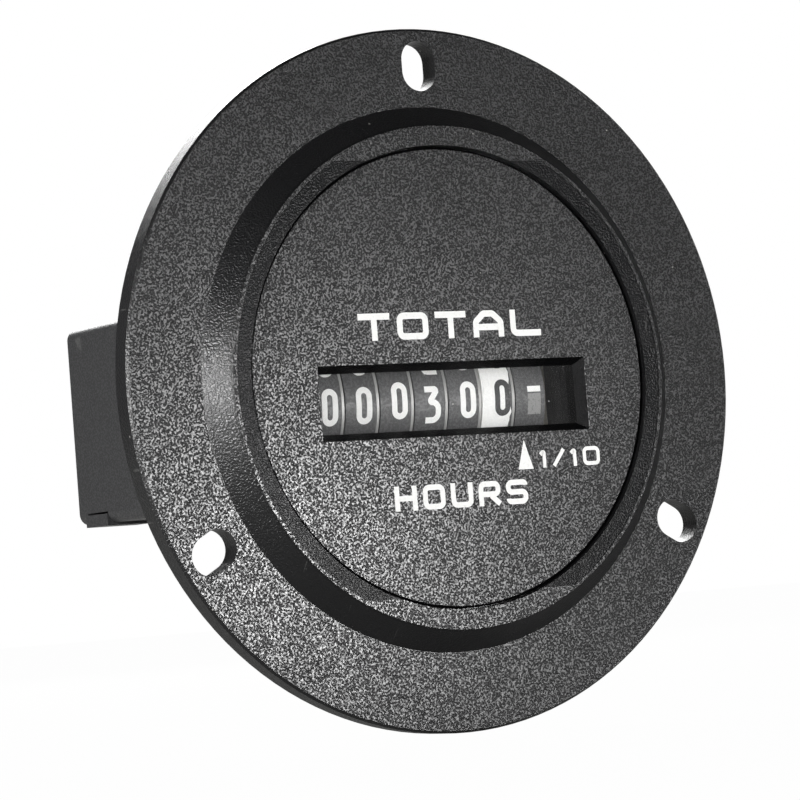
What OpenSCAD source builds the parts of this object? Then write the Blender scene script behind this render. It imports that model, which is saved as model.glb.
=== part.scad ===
// Panel hour meter: a round three-slot bezel, a seven-wheel counter and a quartz-timed stepping motor.
// Frame: the face looks along -Y, +Z is up, and the origin is the centre of the bezel's rear face.

/* [Bezel] */
// Diameter of the mounting flange
flange_d = 72; // [68:0.5:80]
// Thickness of the mounting flange
flange_t = 2.4; // [1.8:0.1:3.2]
// Diameter of the raised boss where it leaves the flange
boss_base_d = 55.7; // [54:0.1:57]
// Diameter of the raised boss at its top
boss_top_d = 51.7; // [50.5:0.1:53]
// Height of the boss above the flange
boss_h = 2.47; // [2:0.05:3.2]
// Width of a screw slot
slot_w = 4; // [3:0.1:4.6]
// Land between a screw slot and the boss
slot_inner_land = 1.7; // [1.2:0.05:2.2]
// Land between a screw slot and the flange's edge
slot_outer_land = 1.25; // [0.8:0.05:1.8]
// Broken edge on the bezel's outer corners
edge_break = 0.25; // [0.1:0.05:0.4]
// Width of the raised rim left outside the side recesses
rim_w = 0.6; // [0.4:0.05:0.9]
// Depth of the side recesses in the boss ring
recess_depth = 0.1; // [0.05:0.01:0.3]
// Half height of the side recesses
recess_half_h = 22; // [20:0.1:22.6]

/* [Face and window] */
// Diameter of the face plate
face_d = 46.9; // [46:0.1:47.6]
// Width of the groove round the face plate
groove_w = 0.15; // [0.1:0.05:0.4]
// Drop of the face plate below the boss ring
face_drop = 0.57; // [0.3:0.01:0.8]
// Thickness of the face plate
face_t = 1.21; // [1:0.01:1.6]
// Width of the window at the front of the face plate
window_w = 32.1; // [31:0.1:33]
// Height of the window at the front of the face plate
window_h = 7.56; // [6.5:0.02:8]
// Place of the window's centre across the face
window_x = 0.25; // [-0.5:0.05:0.5]
// Height of the window's centre over the middle of the bezel
window_z = -2.23; // [-2.8:0.01:-1.6]
// Inward slope of each window wall through the face plate
window_bevel = 0.75; // [0.4:0.05:1]
// Thickness of the clear lens
lens_t = 0.9; // [0.6:0.1:1.2]
// Overlap of the lens behind the window's edge
lens_lap = 1.6; // [1:0.1:2.2]

/* [Case] */
// Free space between the mechanism and the case's side walls
case_side_air = 0.31; // [0.2:0.01:1.2]
// Free space between the number wheels and the case's floor
case_floor_air = 0.22; // [0.2:0.01:2]
// Room between the number wheels and the case's roof
case_head_room = 2.08; // [2:0.01:5]
// Free space between the motor plate and the rear cover's spigot
case_tail_air = 0.714; // [0.6:0.002:4]
// Wall of the case tube
case_wall = 1.5; // [1.2:0.1:1.6]
// Outer corner radius of the case
case_r = 1.2; // [0.8:0.1:1.8]
// Thickness of the rear cover
cover_t = 2; // [1.6:0.1:3]
// Depth of the cover's spigot inside the case
spigot_len = 1.5; // [1:0.1:1.8]
// Width of each corner latch
latch_w = 6; // [4:0.1:8]
// Length of each corner latch along the case
latch_len = 4.6; // [3:0.1:6]
// Height of the rib that locates the case on the bezel
rib_h = 1.6; // [1.2:0.1:1.8]
// Depth of the case's seat in the bezel's rear face
case_seat = 0.4; // [0.2:0.05:0.6]
// Height of the corner latches over the case's floor
latch_proud = 0.3; // [0.1:0.05:0.5]

/* [Terminals] */
// Width of a spade terminal
blade_w = 6.35; // [6:0.05:6.6]
// Thickness of a spade terminal
blade_t = 0.8; // [0.5:0.1:0.9]
// Length of a spade terminal outside the cover
blade_out = 8; // [6:0.1:10]
// Distance between the two spade terminals
blade_spacing = 13; // [12:0.1:13.4]
// Diameter of the detent hole in a spade terminal
blade_hole_d = 1.7; // [1.2:0.1:2.2]

/* [Counter] */
// Diameter of a number wheel
wheel_d = 16; // [15.4:0.05:16.1]
// Width of a number wheel
wheel_w = 3.6; // [3.5:0.05:3.7]
// Gap between neighbouring number wheels
wheel_gap = 0.5; // [0.45:0.01:0.55]
// Place of the middle wheel along the shaft
stack_x = -1.29; // [-1.5:0.01:-1]
// Rise of the wheel shaft over the window's centre
axis_rise = 0.45; // [0.2:0.05:0.6]
// Free space between the lens and the wheels
wheel_air = 0.54; // [0.4:0.02:0.7]
// Diameter of the wheel shaft
shaft_d = 1.6; // [1.3:0.05:1.8]
// Diameter of a wheel's hub
hub_d = 2.8; // [2.6:0.05:3]
// Depth of the gear chambers in a wheel
chamber_depth = 1.5; // [1.3:0.05:1.6]
// Teeth of the internal ring gear in a wheel
ring_teeth = 20; // [20:1:20]
// Leaves of a transfer pinion
leaf_count = 6; // [6:1:6]
// Module of the transfer gearing
ring_module = 0.5; // [0.48:0.01:0.5]
// Thickness of a pinion carrier
carrier_t = 0.3; // [0.2:0.01:0.32]
// Width of the tab that holds a carrier
tab_w = 3; // [2:0.1:4]
// Thickness of the counter frame's cheeks
cheek_t = 1.2; // [1:0.05:1.4]
// Thickness of the bar that holds the carriers
bar_t = 1.2; // [1:0.05:1.3]

/* [Gear train] */
// Teeth of the drive gear on the run wheel
drive_teeth = 36; // [36:1:36]
// Leaves of the second gear's pinion
second_leaves = 12; // [12:1:12]
// Module of the run wheel's drive
drive_module = 0.3333; // [0.32:0.0001:0.34]
// Teeth of the second gear
second_teeth = 40; // [40:1:40]
// Leaves of the first gear's pinion
first_leaves = 8; // [8:1:8]
// Module of the second gear
second_module = 0.3; // [0.29:0.005:0.305]
// Teeth of the first gear
first_teeth = 48; // [48:1:48]
// Leaves of the rotor's pinion
rotor_leaves = 8; // [8:1:8]
// Module of the first gear
first_module = 0.25; // [0.24:0.005:0.255]
// Thickness of the train's gears
gear_t = 0.8; // [0.6:0.05:0.9]
// Free space between gear planes
gear_gap = 0.4; // [0.3:0.05:0.45]
// Diameter of the gear arbors
arbor_d = 1; // [0.8:0.05:1.1]
// Thickness of the gear bridge
bridge_t = 1; // [0.8:0.05:1.1]
// Width of the gear bridge's arms
bridge_w = 3; // [2.6:0.1:3.4]

/* [Motor] */
// Diameter of the rotor magnet
magnet_d = 3.8; // [3.4:0.05:4]
// Length of the rotor magnet
magnet_len = 2.4; // [2:0.1:2.8]
// Air gap round the rotor magnet
air_gap = 0.35; // [0.25:0.05:0.4]
// Thickness of the stator and of the coil core
stator_t = 1; // [0.8:0.05:1.1]
// Half length of the stator
stator_half = 7.5; // [7:0.1:7.6]
// Half height of the stator at the rotor
stator_half_h = 2.9; // [2.8:0.05:3]
// Width of the stator's arms
arm_w = 3.5; // [3:0.1:3.8]
// Half length of the coil bobbin
bobbin_half = 3.8; // [3.4:0.1:3.9]
// Diameter of the bobbin's flanges
bobbin_d = 6; // [5.4:0.1:6]
// Thickness of the bobbin's flanges
bobbin_flange_t = 0.6; // [0.4:0.05:0.8]
// Width of the coil core inside the bobbin
core_w = 2; // [1.6:0.1:2.2]

/* [Electronics] */
// Thickness of the circuit board
board_t = 1.6; // [1.2:0.1:1.6]
// Height of the circuit board's upper face
board_z = 0; // [-0.4:0.1:0.4]
// Front edge of the circuit board behind the bezel
board_front = 15.9; // [15.8:0.1:17]
// Diameter of the filter capacitor
capacitor_d = 6.3; // [5:0.1:6.3]
// Length of the filter capacitor
capacitor_len = 11; // [8:0.1:12]
// Diameter of the quartz crystal can
crystal_d = 2; // [1.5:0.1:3]
// Length of the quartz crystal can
crystal_len = 6; // [5:0.1:8]

/* [Fits] */
// Radial running clearance of a wheel or an arbor
run_clear = 0.05; // [0.03:0.01:0.08]
// Clearance of a fixed pin or shaft in its hole
fit_clear = 0.02; // [0.01:0.01:0.04]
// Clearance of moulded parts that slide together
mould_clear = 0.1; // [0.05:0.01:0.15]
// Thinning of a gear tooth at its pitch circle
tooth_play = 0.07; // [0.05:0.01:0.09]

/* [Hidden] */
$fn = 96;
cut = 0.5;

// Names of the number wheels, from the left
WHEELS = ["ten_thousands", "thousands", "hundreds", "tens", "units", "tenths"];

// Reach of the screw slots along the radius
slot_r0 = boss_base_d / 2 + slot_inner_land;
slot_r1 = flange_d / 2 - slot_outer_land;

// Planes of the front end
ring_y = -(flange_t + boss_h);
face_y = ring_y + face_drop;
seat_y = face_y + face_t;
lens_back_y = seat_y + lens_t;
pocket_r = face_d / 2 + groove_w;
lens_w = window_w + 2 * lens_lap;
lens_h = window_h + 2 * lens_lap;

// Wheel stack
wheel_r = wheel_d / 2;
axis = [lens_back_y + wheel_air + wheel_r, window_z + axis_rise];
run_index = len(WHEELS);
wheel_pitch = wheel_w + wheel_gap;
middle_index = 3;
function wheel_x(i) = stack_x + (i - middle_index) * wheel_pitch;
stack_left = wheel_x(0) - wheel_w / 2;
drive_x0 = wheel_x(run_index) + wheel_w / 2;
drive_lap = 0.25;
drive_t = gear_t + drive_lap;
drive_x1 = drive_x0 + drive_t;
side_gap = 0.3;

// Floor and roof inside the case
in_z0 = axis[1] - wheel_r - case_floor_air;
in_z1 = axis[1] + wheel_r + case_head_room;

// Transfer gearing
addendum = 0.8;
dedendum = 1.1;
short_addendum = 0.6;
pressure = 30;
transfer_distance = ring_module * (ring_teeth - leaf_count) / 2;
leaf_tip_r = ring_module * (leaf_count / 2 + addendum);
leaf_root_r = ring_module * (leaf_count / 2 - dedendum);
lock_air = 0.15;
lock_r = transfer_distance + leaf_tip_r + lock_air;
notch_w = 1.2;
notch_depth = 0.5;
pinion_axis = axis + [transfer_distance, 0];
carrier_drop = 0.12;
carrier_r = wheel_r - carrier_drop;

// Cheeks of the counter frame
left_in = stack_left - side_gap;
left_out = left_in - cheek_t;
right_in = drive_x1 + side_gap;
right_out = right_in + cheek_t;
cheek_air = 0.4;
cheek_front = rib_h + cheek_air;
cheek_z0 = in_z0 + cheek_air;
cheek_z1 = in_z1 - cheek_air;
cheek_back = axis[0] + wheel_r + cheek_t;
cheek_r = 1;
bar_air = 0.3;
bar_z0 = axis[1] + wheel_r + bar_air;
bar_half = 3;
lower_bar = 2;

// Gear train: planes along the shaft and axes in (Y, Z)
second_x = right_out + gear_gap;
first_x = second_x + gear_t + gear_gap;
pinion_lap = 0.1;
bridge_x = first_x + gear_t + gear_gap + pinion_lap;
bridge_out = bridge_x + bridge_t;
arbor_r = arbor_d / 2;
function polar(r, a) = r * [cos(a), sin(a)];
second_angle = 27;
first_angle = -30;
rotor_angle = -5;
second_axis = axis + polar(drive_module * (drive_teeth + second_leaves) / 2, second_angle);
first_axis = second_axis + polar(second_module * (second_teeth + first_leaves) / 2, first_angle);
rotor_axis = first_axis + polar(first_module * (first_teeth + rotor_leaves) / 2, rotor_angle);
post_r = 1.1;
stake_r = 0.7;
second_tip_r = second_module * (second_teeth / 2 + addendum);
first_tip_r = first_module * (first_teeth / 2 + addendum);
post_air = 0.4;
rotor_post = [2.4, -3.2];
POSTS = [
    first_axis + polar(first_tip_r + post_r + post_air, 80),
    second_axis + polar(second_tip_r + post_r + post_air, -97),
    rotor_axis + rotor_post
];

// Motor
stator_drop = 3;
stator_x = right_in - stator_drop;
core_x = stator_x - stator_t;
coil_x = core_x + stator_t / 2;
coil_z = in_z1 - cheek_air - bobbin_d / 2;
rotor_hole_r = magnet_d / 2 + air_gap;
plate_lap = 0.5;
gear_plate_back = rotor_axis[0] + stator_half + plate_lap;
clamp_inset = arm_w / 2;
clamp_post_r = 1.4;
screw_r = 0.6;
screw_head_r = 1.2;
screw_head_h = 0.7;
bobbin_tube_r = 1.6;

// Fixing of the counter frame to the bezel
boss_r = 1.4;
boss_len = 6;
boss_air = 0.2;
boss_step = boss_r + boss_air;
lug_t = 1.2;
lug_reach = 2 * boss_r + side_gap;
lug_half = 1.8;
left_fix_drop = 3;
right_fix_rise = 2.8;
left_fix = [left_out - boss_step, in_z1 - left_fix_drop];
right_fix = [right_out + boss_step, in_z0 + right_fix_rise];
fix_screw_r = 0.75;
fix_head_r = 1.35;
fix_bite = 4;
fix_hole_spare = 1;

// Case round the mechanism
inner_r = 0.5;
in_w = 2 * (max(bridge_out, fix_head_r - left_fix[0]) + case_side_air);
in_h = in_z1 - in_z0;
case_w = in_w + 2 * case_wall;
case_h = in_h + 2 * case_wall;
case_z = (in_z0 + in_z1) / 2;
case_len = gear_plate_back + case_tail_air + spigot_len;
cover_y = case_len;
cover_back = case_len + cover_t;
seat_air = latch_proud + mould_clear;

// Circuit board
board_air = 0.25;
board_reach = 3.8;
board_left = -in_w / 2 + board_air;
board_right = core_x - board_reach;
tongue_right = blade_spacing / 2 + blade_w / 2;
tongue_air = 0.2;
tongue_front = gear_plate_back + tongue_air;
board_end_air = 0.6;
board_back = cover_y - board_end_air;
rail_w = 1.2;

// Places of the components on the board
part_edge = 1.25;
part_gap = 0.95;
chip_w = 9.4;
chip_d = 6.2;
chip_h = 3.2;
chip_stand = 0.5;
lead_w = 0.5;
lead_d = 1;
lead_pitch = 2.3;
coil_side = 5.5;
capacitor_back = 3.5;
crystal_back = 3;
chip_back = 8.5;
diode_lap = 0.49;
resistor_air = 0.2;
capacitor_x = board_left + part_edge + capacitor_d / 2;
chip_x = capacitor_x + capacitor_d / 2 + part_gap + chip_w / 2;
coil_side_x = board_right - coil_side;
diode_d = 2.6;
diode_len = 4.4;
diode_x = chip_x + chip_w / 2 - diode_lap;
resistor_d = 2.2;
resistor_len = 5.4;
capacitor_y = board_front + capacitor_back;
crystal_y = board_front + crystal_back;
chip_y = board_front + chip_back;
rear_row = 1.5;
diode_y = chip_y + chip_d / 2 + rear_row;
resistor_y = crystal_y + crystal_len + 2 * rear_row + resistor_air;

// Turn a shape drawn in (X, Z) so that its height runs towards the viewer, from the plane y
module facing(y) {
    translate([0, y, 0])
        rotate([90, 0, 0])
            children();
}

// Turn a shape drawn in (Y, Z) so that its height runs along the shaft, from the plane x
module along_shaft(x) {
    translate([x, 0, 0])
        rotate([90, 0, 90])
            children();
}

// A round bar or bore along the shaft direction, from x0 to x1 about a (Y, Z) axis
module round_bar(x0, x1, at, r) {
    along_shaft(x0)
        translate(at)
            cylinder(r = r, h = x1 - x0);
}

// A block given by its two opposite corners
module block(low, high) {
    translate(low)
        cube(high - low);
}

// A rectangle with round corners, centred
module round_rect(w, h, r) {
    square([w - 2 * r, h], center = true);
    square([w, h - 2 * r], center = true);
    for (sx = [-1, 1], sz = [-1, 1])
        translate([sx * (w / 2 - r), sz * (h / 2 - r)])
            circle(r);
}

// A flat arm of even width between two points
module arm(from, to, w) {
    span = to - from;
    translate(from)
        rotate(atan2(span[1], span[0]))
            translate([0, -w / 2])
                square([norm(span), w]);
}

// Involute of the pressure angle a, in degrees
function involute(a) = tan(a) * 180 / PI - a;

// Half angle of a tooth at radius r
function half_tooth(r, teeth, m, play) =
    let (pitch_r = teeth * m / 2,
         base_r = pitch_r * cos(pressure),
         a = r > base_r ? acos(base_r / r) : 0)
    90 / teeth - play / 2 / pitch_r * 180 / PI + involute(pressure) - involute(a);

// Outline of an involute gear with its first tooth on +X
function gear_outline(teeth, m, top, bottom, play) =
    let (pitch_r = teeth * m / 2,
         root_r = pitch_r - bottom * m,
         tip_r = pitch_r + top * m,
         radii = [root_r, max(root_r, pitch_r * cos(pressure)), pitch_r, tip_r])
    [for (i = [0:teeth - 1], side = [-1, 1], k = [0:3])
        let (r = radii[side < 0 ? k : 3 - k])
        if (k > 0 || side > 0 || root_r < radii[1])
            polar(r, i * 360 / teeth + side * half_tooth(r, teeth, m, play))];

// An external gear with its first tooth at the angle given
module gear(teeth, m, thickness, angle) {
    rotate(angle)
        linear_extrude(thickness)
            polygon(gear_outline(teeth, m, addendum, dedendum, tooth_play));
}

// A cheese-head screw with its head's seat at the origin and its shank along +Z
module screw(shank_r, shank_len, head_r, head_h) {
    slot_depth = head_h / 2;
    slot_width = head_r / 3;
    difference() {
        translate([0, 0, -head_h])
            cylinder(r = head_r, h = head_h);
        translate([-head_r - cut, -slot_width / 2, -head_h - cut])
            cube([2 * (head_r + cut), slot_width, slot_depth + cut]);
    }
    cylinder(r = shank_r, h = shank_len);
}

// The three screw slots, long along the radius
module screw_slots() {
    size = [slot_r1 - slot_r0, slot_w];
    end_r = min(size) / 2;
    straight = size - 2 * [end_r, end_r];
    for (a = [90, 210, 330])
        rotate(a)
            translate([(slot_r0 + slot_r1) / 2, 0]) {
                square(straight[0] > 0 ? [straight[0], slot_w] : [size[0], straight[1]], center = true);
                for (s = [-1, 1])
                    translate(s * straight / 2)
                        circle(end_r);
            }
}

// Four sloping walls through the face plate
module window_cut() {
    depth = face_t + 2 * cut;
    slope = window_bevel / face_t;
    front = cut * slope;
    half_w = window_w / 2;
    half_h = window_h / 2;
    spread = window_bevel + cut * slope;
    intersection() {
        translate([window_x, 0, window_z - window_h])
            linear_extrude(2 * window_h)
                polygon([
                    [-half_w - front, face_y - cut], [half_w + front, face_y - cut],
                    [half_w - spread, seat_y + cut], [-half_w + spread, seat_y + cut]
                ]);
        along_shaft(-window_w)
            linear_extrude(2 * window_w)
                polygon([
                    [face_y - cut, window_z - half_h - front], [face_y - cut, window_z + half_h + front],
                    [seat_y + cut, window_z + half_h - spread], [seat_y + cut, window_z - half_h + spread]
                ]);
    }
}

// Turned outline of the bezel: flange, sloping boss wall and ring top
module bezel_profile() {
    polygon([
        [0, 0],
        [flange_d / 2, 0],
        [flange_d / 2, flange_t - edge_break],
        [flange_d / 2 - edge_break, flange_t],
        [boss_base_d / 2, flange_t],
        [boss_top_d / 2, flange_t + boss_h - edge_break],
        [boss_top_d / 2 - edge_break, flange_t + boss_h],
        [0, flange_t + boss_h]
    ]);
}

// Rib that the case slides over, and the two bosses that carry the counter frame
module bezel_back() {
    rib_t = 1;
    rib = [in_w - 2 * mould_clear, in_h - 2 * mould_clear];
    translate([0, 0, case_z])
        facing(rib_h)
            linear_extrude(rib_h + case_seat + cut)
                difference() {
                    round_rect(rib[0], rib[1], inner_r);
                    square([rib[0] - 2 * rib_t, rib[1] - 2 * rib_t], center = true);
                }
    for (p = [left_fix, right_fix])
        translate([p[0], 0, p[1]])
            facing(boss_len)
                cylinder(r = boss_r, h = boss_len + case_seat + cut);
}

// Turned bezel with the shallow seat for the case in its rear face
module bezel_body() {
    difference() {
        facing(0)
            rotate_extrude()
                bezel_profile();
        translate([0, 0, case_z])
            facing(cut)
                linear_extrude(cut + case_seat)
                    round_rect(case_w + 2 * seat_air, case_h + 2 * seat_air, case_r + seat_air);
    }
}

module mounting_bezel() {
    opening_x0 = left_in - side_gap;
    opening_x1 = right_in + side_gap;
    opening_half = sqrt(pow(wheel_r, 2) - pow(axis[0] + case_seat, 2)) + wheel_air;
    screw_depth = fix_bite + fix_hole_spare;
    color("#2d2d2f")
        difference() {
            union() {
                bezel_body();
                bezel_back();
            }
            facing(seat_y)
                cylinder(r = pocket_r, h = flange_t + boss_h);
            facing(ring_y + recess_depth)
                linear_extrude(recess_depth + cut)
                    intersection() {
                        circle(boss_top_d / 2 - rim_w);
                        square([flange_d, 2 * recess_half_h], center = true);
                    }
            block([window_x - lens_w / 2 - mould_clear, seat_y - cut, window_z - lens_h / 2 - mould_clear],
                  [window_x + lens_w / 2 + mould_clear, lens_back_y, window_z + lens_h / 2 + mould_clear]);
            block([opening_x0, lens_back_y - cut, axis[1] - opening_half],
                  [opening_x1, cut, axis[1] + opening_half]);
            facing(cut)
                linear_extrude(flange_t + 2 * cut)
                    screw_slots();
            for (p = [left_fix, right_fix])
                translate([p[0], 0, p[1]])
                    facing(boss_len + cut)
                        cylinder(r = fix_screw_r + fit_clear, h = screw_depth + cut);
        }
}

module face_plate() {
    color("#333335")
        difference() {
            facing(seat_y)
                rotate_extrude()
                    polygon([
                        [0, 0],
                        [face_d / 2, 0],
                        [face_d / 2, face_t - edge_break],
                        [face_d / 2 - edge_break, face_t],
                        [0, face_t]
                    ]);
            window_cut();
        }
}

module window_lens() {
    color("#dfe6e8", 0.35)
        block([window_x - lens_w / 2, seat_y, window_z - lens_h / 2],
              [window_x + lens_w / 2, lens_back_y, window_z + lens_h / 2]);
}

// Corner cuts at the rear of the case, or the latches that fill them
module latch_corners(clearance, proud) {
    height = case_wall - 0.5;
    for (s = [-1, 1])
        block([s > 0 ? case_w / 2 - latch_w - clearance : -case_w / 2 - cut * clearance,
               case_len - latch_len - clearance, case_z - case_h / 2 - proud],
              [s > 0 ? case_w / 2 + cut * clearance : -case_w / 2 + latch_w + clearance,
               case_len + cut, case_z - case_h / 2 + height + clearance]);
}

module case_body() {
    color("#3a3a3c")
        difference() {
            union() {
                translate([0, 0, case_z])
                    facing(case_len)
                        linear_extrude(case_len + case_seat)
                            difference() {
                                round_rect(case_w, case_h, case_r);
                                round_rect(in_w, in_h, inner_r);
                            }
                for (z = [board_z - board_t - mould_clear - rail_w, board_z + mould_clear])
                    block([-in_w / 2 - case_wall / 2, board_front, z],
                          [-in_w / 2 + rail_w, case_len - spigot_len - side_gap, z + rail_w]);
            }
            latch_corners(2 * mould_clear, cut);
        }
}

module rear_cover() {
    spigot_w = in_w - 2 * mould_clear;
    spigot_h = in_h - 2 * mould_clear;
    spigot_t = 1.2;
    groove_z0 = board_z - board_t - mould_clear;
    groove_z1 = board_z + mould_clear;
    color("#38383a")
        difference() {
            union() {
                translate([0, 0, case_z]) {
                    facing(cover_back)
                        linear_extrude(cover_t)
                            round_rect(case_w, case_h, case_r);
                    facing(cover_y + cut)
                        linear_extrude(spigot_len + cut)
                            difference() {
                                round_rect(spigot_w, spigot_h, inner_r);
                                square([spigot_w - 2 * spigot_t, spigot_h - 2 * spigot_t], center = true);
                            }
                }
                block([board_left + side_gap, cover_y - spigot_len, groove_z0 - rail_w],
                      [tongue_right, cover_y + cut, groove_z1 + blade_t + rail_w]);
                latch_corners(0, latch_proud);
            }
            block([-in_w / 2, cover_y - spigot_len - cut, groove_z0],
                  [tongue_right + mould_clear, board_back + mould_clear, groove_z1]);
            for (s = [-1, 1])
                block([s * blade_spacing / 2 - blade_w / 2 - fit_clear, cover_y - spigot_len - cut,
                       board_z - fit_clear],
                      [s * blade_spacing / 2 + blade_w / 2 + fit_clear, cover_back + cut,
                       board_z + blade_t + fit_clear]);
        }
}

// A spade terminal that lies on the board and passes through the cover
module terminal(x) {
    tip = cover_back + blade_out;
    tip_slope = 1.2;
    inner = tongue_front;
    hole_y = cover_back + blade_out / 2;
    color("#c9b877")
        translate([x, 0, board_z])
            difference() {
                linear_extrude(blade_t)
                    polygon([
                        [-blade_w / 2, inner], [blade_w / 2, inner],
                        [blade_w / 2, tip - tip_slope], [blade_w / 2 - tip_slope, tip],
                        [-blade_w / 2 + tip_slope, tip], [-blade_w / 2, tip - tip_slope]
                    ]);
                translate([0, hole_y, -cut])
                    cylinder(d = blade_hole_d, h = blade_t + 2 * cut);
            }
}

module terminal_positive() {
    terminal(-blade_spacing / 2);
}

module terminal_negative() {
    terminal(blade_spacing / 2);
}

// A cheek plate in (Y, Z), from the front edge to the back edge given
module cheek_plate(back) {
    translate([(cheek_front + back) / 2, (cheek_z0 + cheek_z1) / 2])
        round_rect(back - cheek_front, cheek_z1 - cheek_z0, cheek_r);
}

// A lug that reaches out from a cheek to its boss on the bezel
module fixing_lug(at, side) {
    inner_x = at[0] - side * boss_step;
    block([min(inner_x - side * cut, inner_x + side * lug_reach), boss_len, at[1] - lug_half],
          [max(inner_x - side * cut, inner_x + side * lug_reach), boss_len + lug_t, at[1] + lug_half]);
}

// Slots in the upper bar that hold the carrier tabs
module tab_slots() {
    half = tab_w / 2 + fit_clear;
    for (i = [0:run_index - 1])
        translate([(wheel_x(i) + wheel_x(i + 1)) / 2, axis[0], bar_z0 - cut])
            linear_extrude(bar_t + 2 * cut)
                square([carrier_t + 2 * fit_clear, 2 * half], center = true);
}

// Places of the two screws that clamp the coil core, in (Y, Z)
function clamp_points() = [for (s = [-1, 1]) [rotor_axis[0] + s * (stator_half - clamp_inset), coil_z]];

module counter_frame() {
    color("#e4e1d6")
        difference() {
            union() {
                along_shaft(left_out)
                    linear_extrude(cheek_t)
                        cheek_plate(cheek_back);
                along_shaft(right_in)
                    linear_extrude(cheek_t)
                        cheek_plate(gear_plate_back);
                block([left_out, axis[0] - bar_half, bar_z0],
                      [right_out, axis[0] + bar_half, bar_z0 + bar_t]);
                block([left_out, cheek_back - lower_bar, cheek_z0],
                      [right_out, cheek_back, cheek_z0 + bar_t]);
                fixing_lug(left_fix, -1);
                fixing_lug(right_fix, 1);
                for (p = clamp_points())
                    round_bar(stator_x + stator_t, right_out, p, clamp_post_r);
                for (p = POSTS) {
                    round_bar(right_in, bridge_x, p, post_r);
                    round_bar(right_in, bridge_out, p, stake_r);
                }
            }
            tab_slots();
            round_bar(left_out - cut, right_out + cut, axis, shaft_d / 2 + fit_clear);
            for (p = [second_axis, first_axis, rotor_axis])
                round_bar(right_in - cut, right_out + cut, p, arbor_r + run_clear);
            for (p = clamp_points())
                round_bar(stator_x, right_out + cut, p, screw_r + fit_clear);
            for (p = [left_fix, right_fix])
                translate([p[0], 0, p[1]])
                    facing(boss_len + lug_t + cut)
                        cylinder(r = fix_screw_r + mould_clear, h = lug_t + 2 * cut);
        }
}

module frame_screws() {
    shank = lug_t + fix_bite;
    color("#b9b9b6")
        for (p = [left_fix, right_fix])
            translate([p[0], 0, p[1]])
                facing(boss_len + lug_t)
                    screw(fix_screw_r, shank, fix_head_r, screw_head_h);
}

module wheel_shaft() {
    color("#c4c6c8")
        round_bar(left_out, right_out, axis, shaft_d / 2);
}

// Round chamber between the hub and a number wheel's rim
module ring_chamber() {
    difference() {
        children();
        circle(d = hub_d);
    }
}

// Blank of a number wheel, with its locking chamber and carry notch on the left
module wheel_blank() {
    difference() {
        translate(axis)
            cylinder(d = wheel_d, h = wheel_w);
        translate(axis)
            translate([0, 0, -cut])
                linear_extrude(chamber_depth + cut)
                    ring_chamber() {
                        circle(lock_r);
                        rotate(180)
                            translate([lock_r - cut, -notch_w / 2])
                                square([notch_depth + cut, notch_w]);
                    }
    }
}

// A counting wheel: locking chamber on the left, internal ring gear on the right
module number_wheel(i) {
    color(i == run_index - 1 ? "#e9e8e2" : "#39393b")
        along_shaft(wheel_x(i) - wheel_w / 2)
            difference() {
                wheel_blank();
                translate(axis) {
                    translate([0, 0, wheel_w - chamber_depth])
                        linear_extrude(chamber_depth + cut)
                            ring_chamber()
                                polygon(gear_outline(ring_teeth, ring_module, dedendum, short_addendum,
                                                     -tooth_play));
                    translate([0, 0, -cut])
                        cylinder(r = shaft_d / 2 + run_clear, h = wheel_w + 2 * cut);
                }
            }
}

// The run wheel: locking chamber on the left, drive gear on the right
module run_wheel() {
    color("#39393b")
        along_shaft(wheel_x(run_index) - wheel_w / 2)
            difference() {
                union() {
                    wheel_blank();
                    translate([axis[0], axis[1], wheel_w])
                        gear(drive_teeth, drive_module, drive_t, second_angle);
                }
                translate([axis[0], axis[1], -cut])
                    cylinder(r = shaft_d / 2 + run_clear, h = wheel_w + drive_t + 2 * cut);
            }
}

// A thin plate between two wheels that carries one transfer pinion
module pinion_carrier(i) {
    slot_half = leaf_root_r - fit_clear + run_clear;
    tab_top = bar_z0 + bar_t;
    color("#a9abad")
        along_shaft((wheel_x(i) + wheel_x(i + 1)) / 2 - carrier_t / 2)
            linear_extrude(carrier_t)
                difference() {
                    union() {
                        translate(axis)
                            circle(carrier_r);
                        translate([axis[0] - tab_w / 2, axis[1]])
                            square([tab_w, tab_top - axis[1]]);
                    }
                    translate(axis)
                        circle(shaft_d / 2 + fit_clear);
                    translate(pinion_axis)
                        circle(slot_half);
                    translate([pinion_axis[0], pinion_axis[1] - slot_half])
                        square([carrier_r, 2 * slot_half]);
                }
}

// A transfer pinion: leaves on both sides of the journal that turns in its carrier
module transfer_pinion(i) {
    end = wheel_gap / 2 + chamber_depth - 0.2;
    leaf_start = carrier_t / 2 + run_clear;
    journal_r = leaf_root_r - fit_clear;
    color("#efeee8")
        along_shaft((wheel_x(i) + wheel_x(i + 1)) / 2)
            translate(pinion_axis) {
                translate([0, 0, -end])
                    gear(leaf_count, ring_module, end - leaf_start, 0);
                translate([0, 0, leaf_start])
                    gear(leaf_count, ring_module, end - leaf_start, 0);
                translate([0, 0, -leaf_start - run_clear])
                    cylinder(r = journal_r, h = 2 * (leaf_start + run_clear));
            }
}

// Arbor in the cheek and the bridge, starting at x0
module arbor(x0, at) {
    round_bar(x0, bridge_out, at, arbor_r);
}

module second_gear() {
    pinion_angle = second_angle + 180 + 180 / second_leaves;
    color("#ded9c4") {
        arbor(drive_x0 + pinion_lap, second_axis);
        along_shaft(drive_x0 + pinion_lap)
            translate(second_axis)
                gear(second_leaves, drive_module, drive_t, pinion_angle);
        along_shaft(second_x)
            translate(second_axis)
                gear(second_teeth, second_module, gear_t, first_angle);
    }
}

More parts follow.
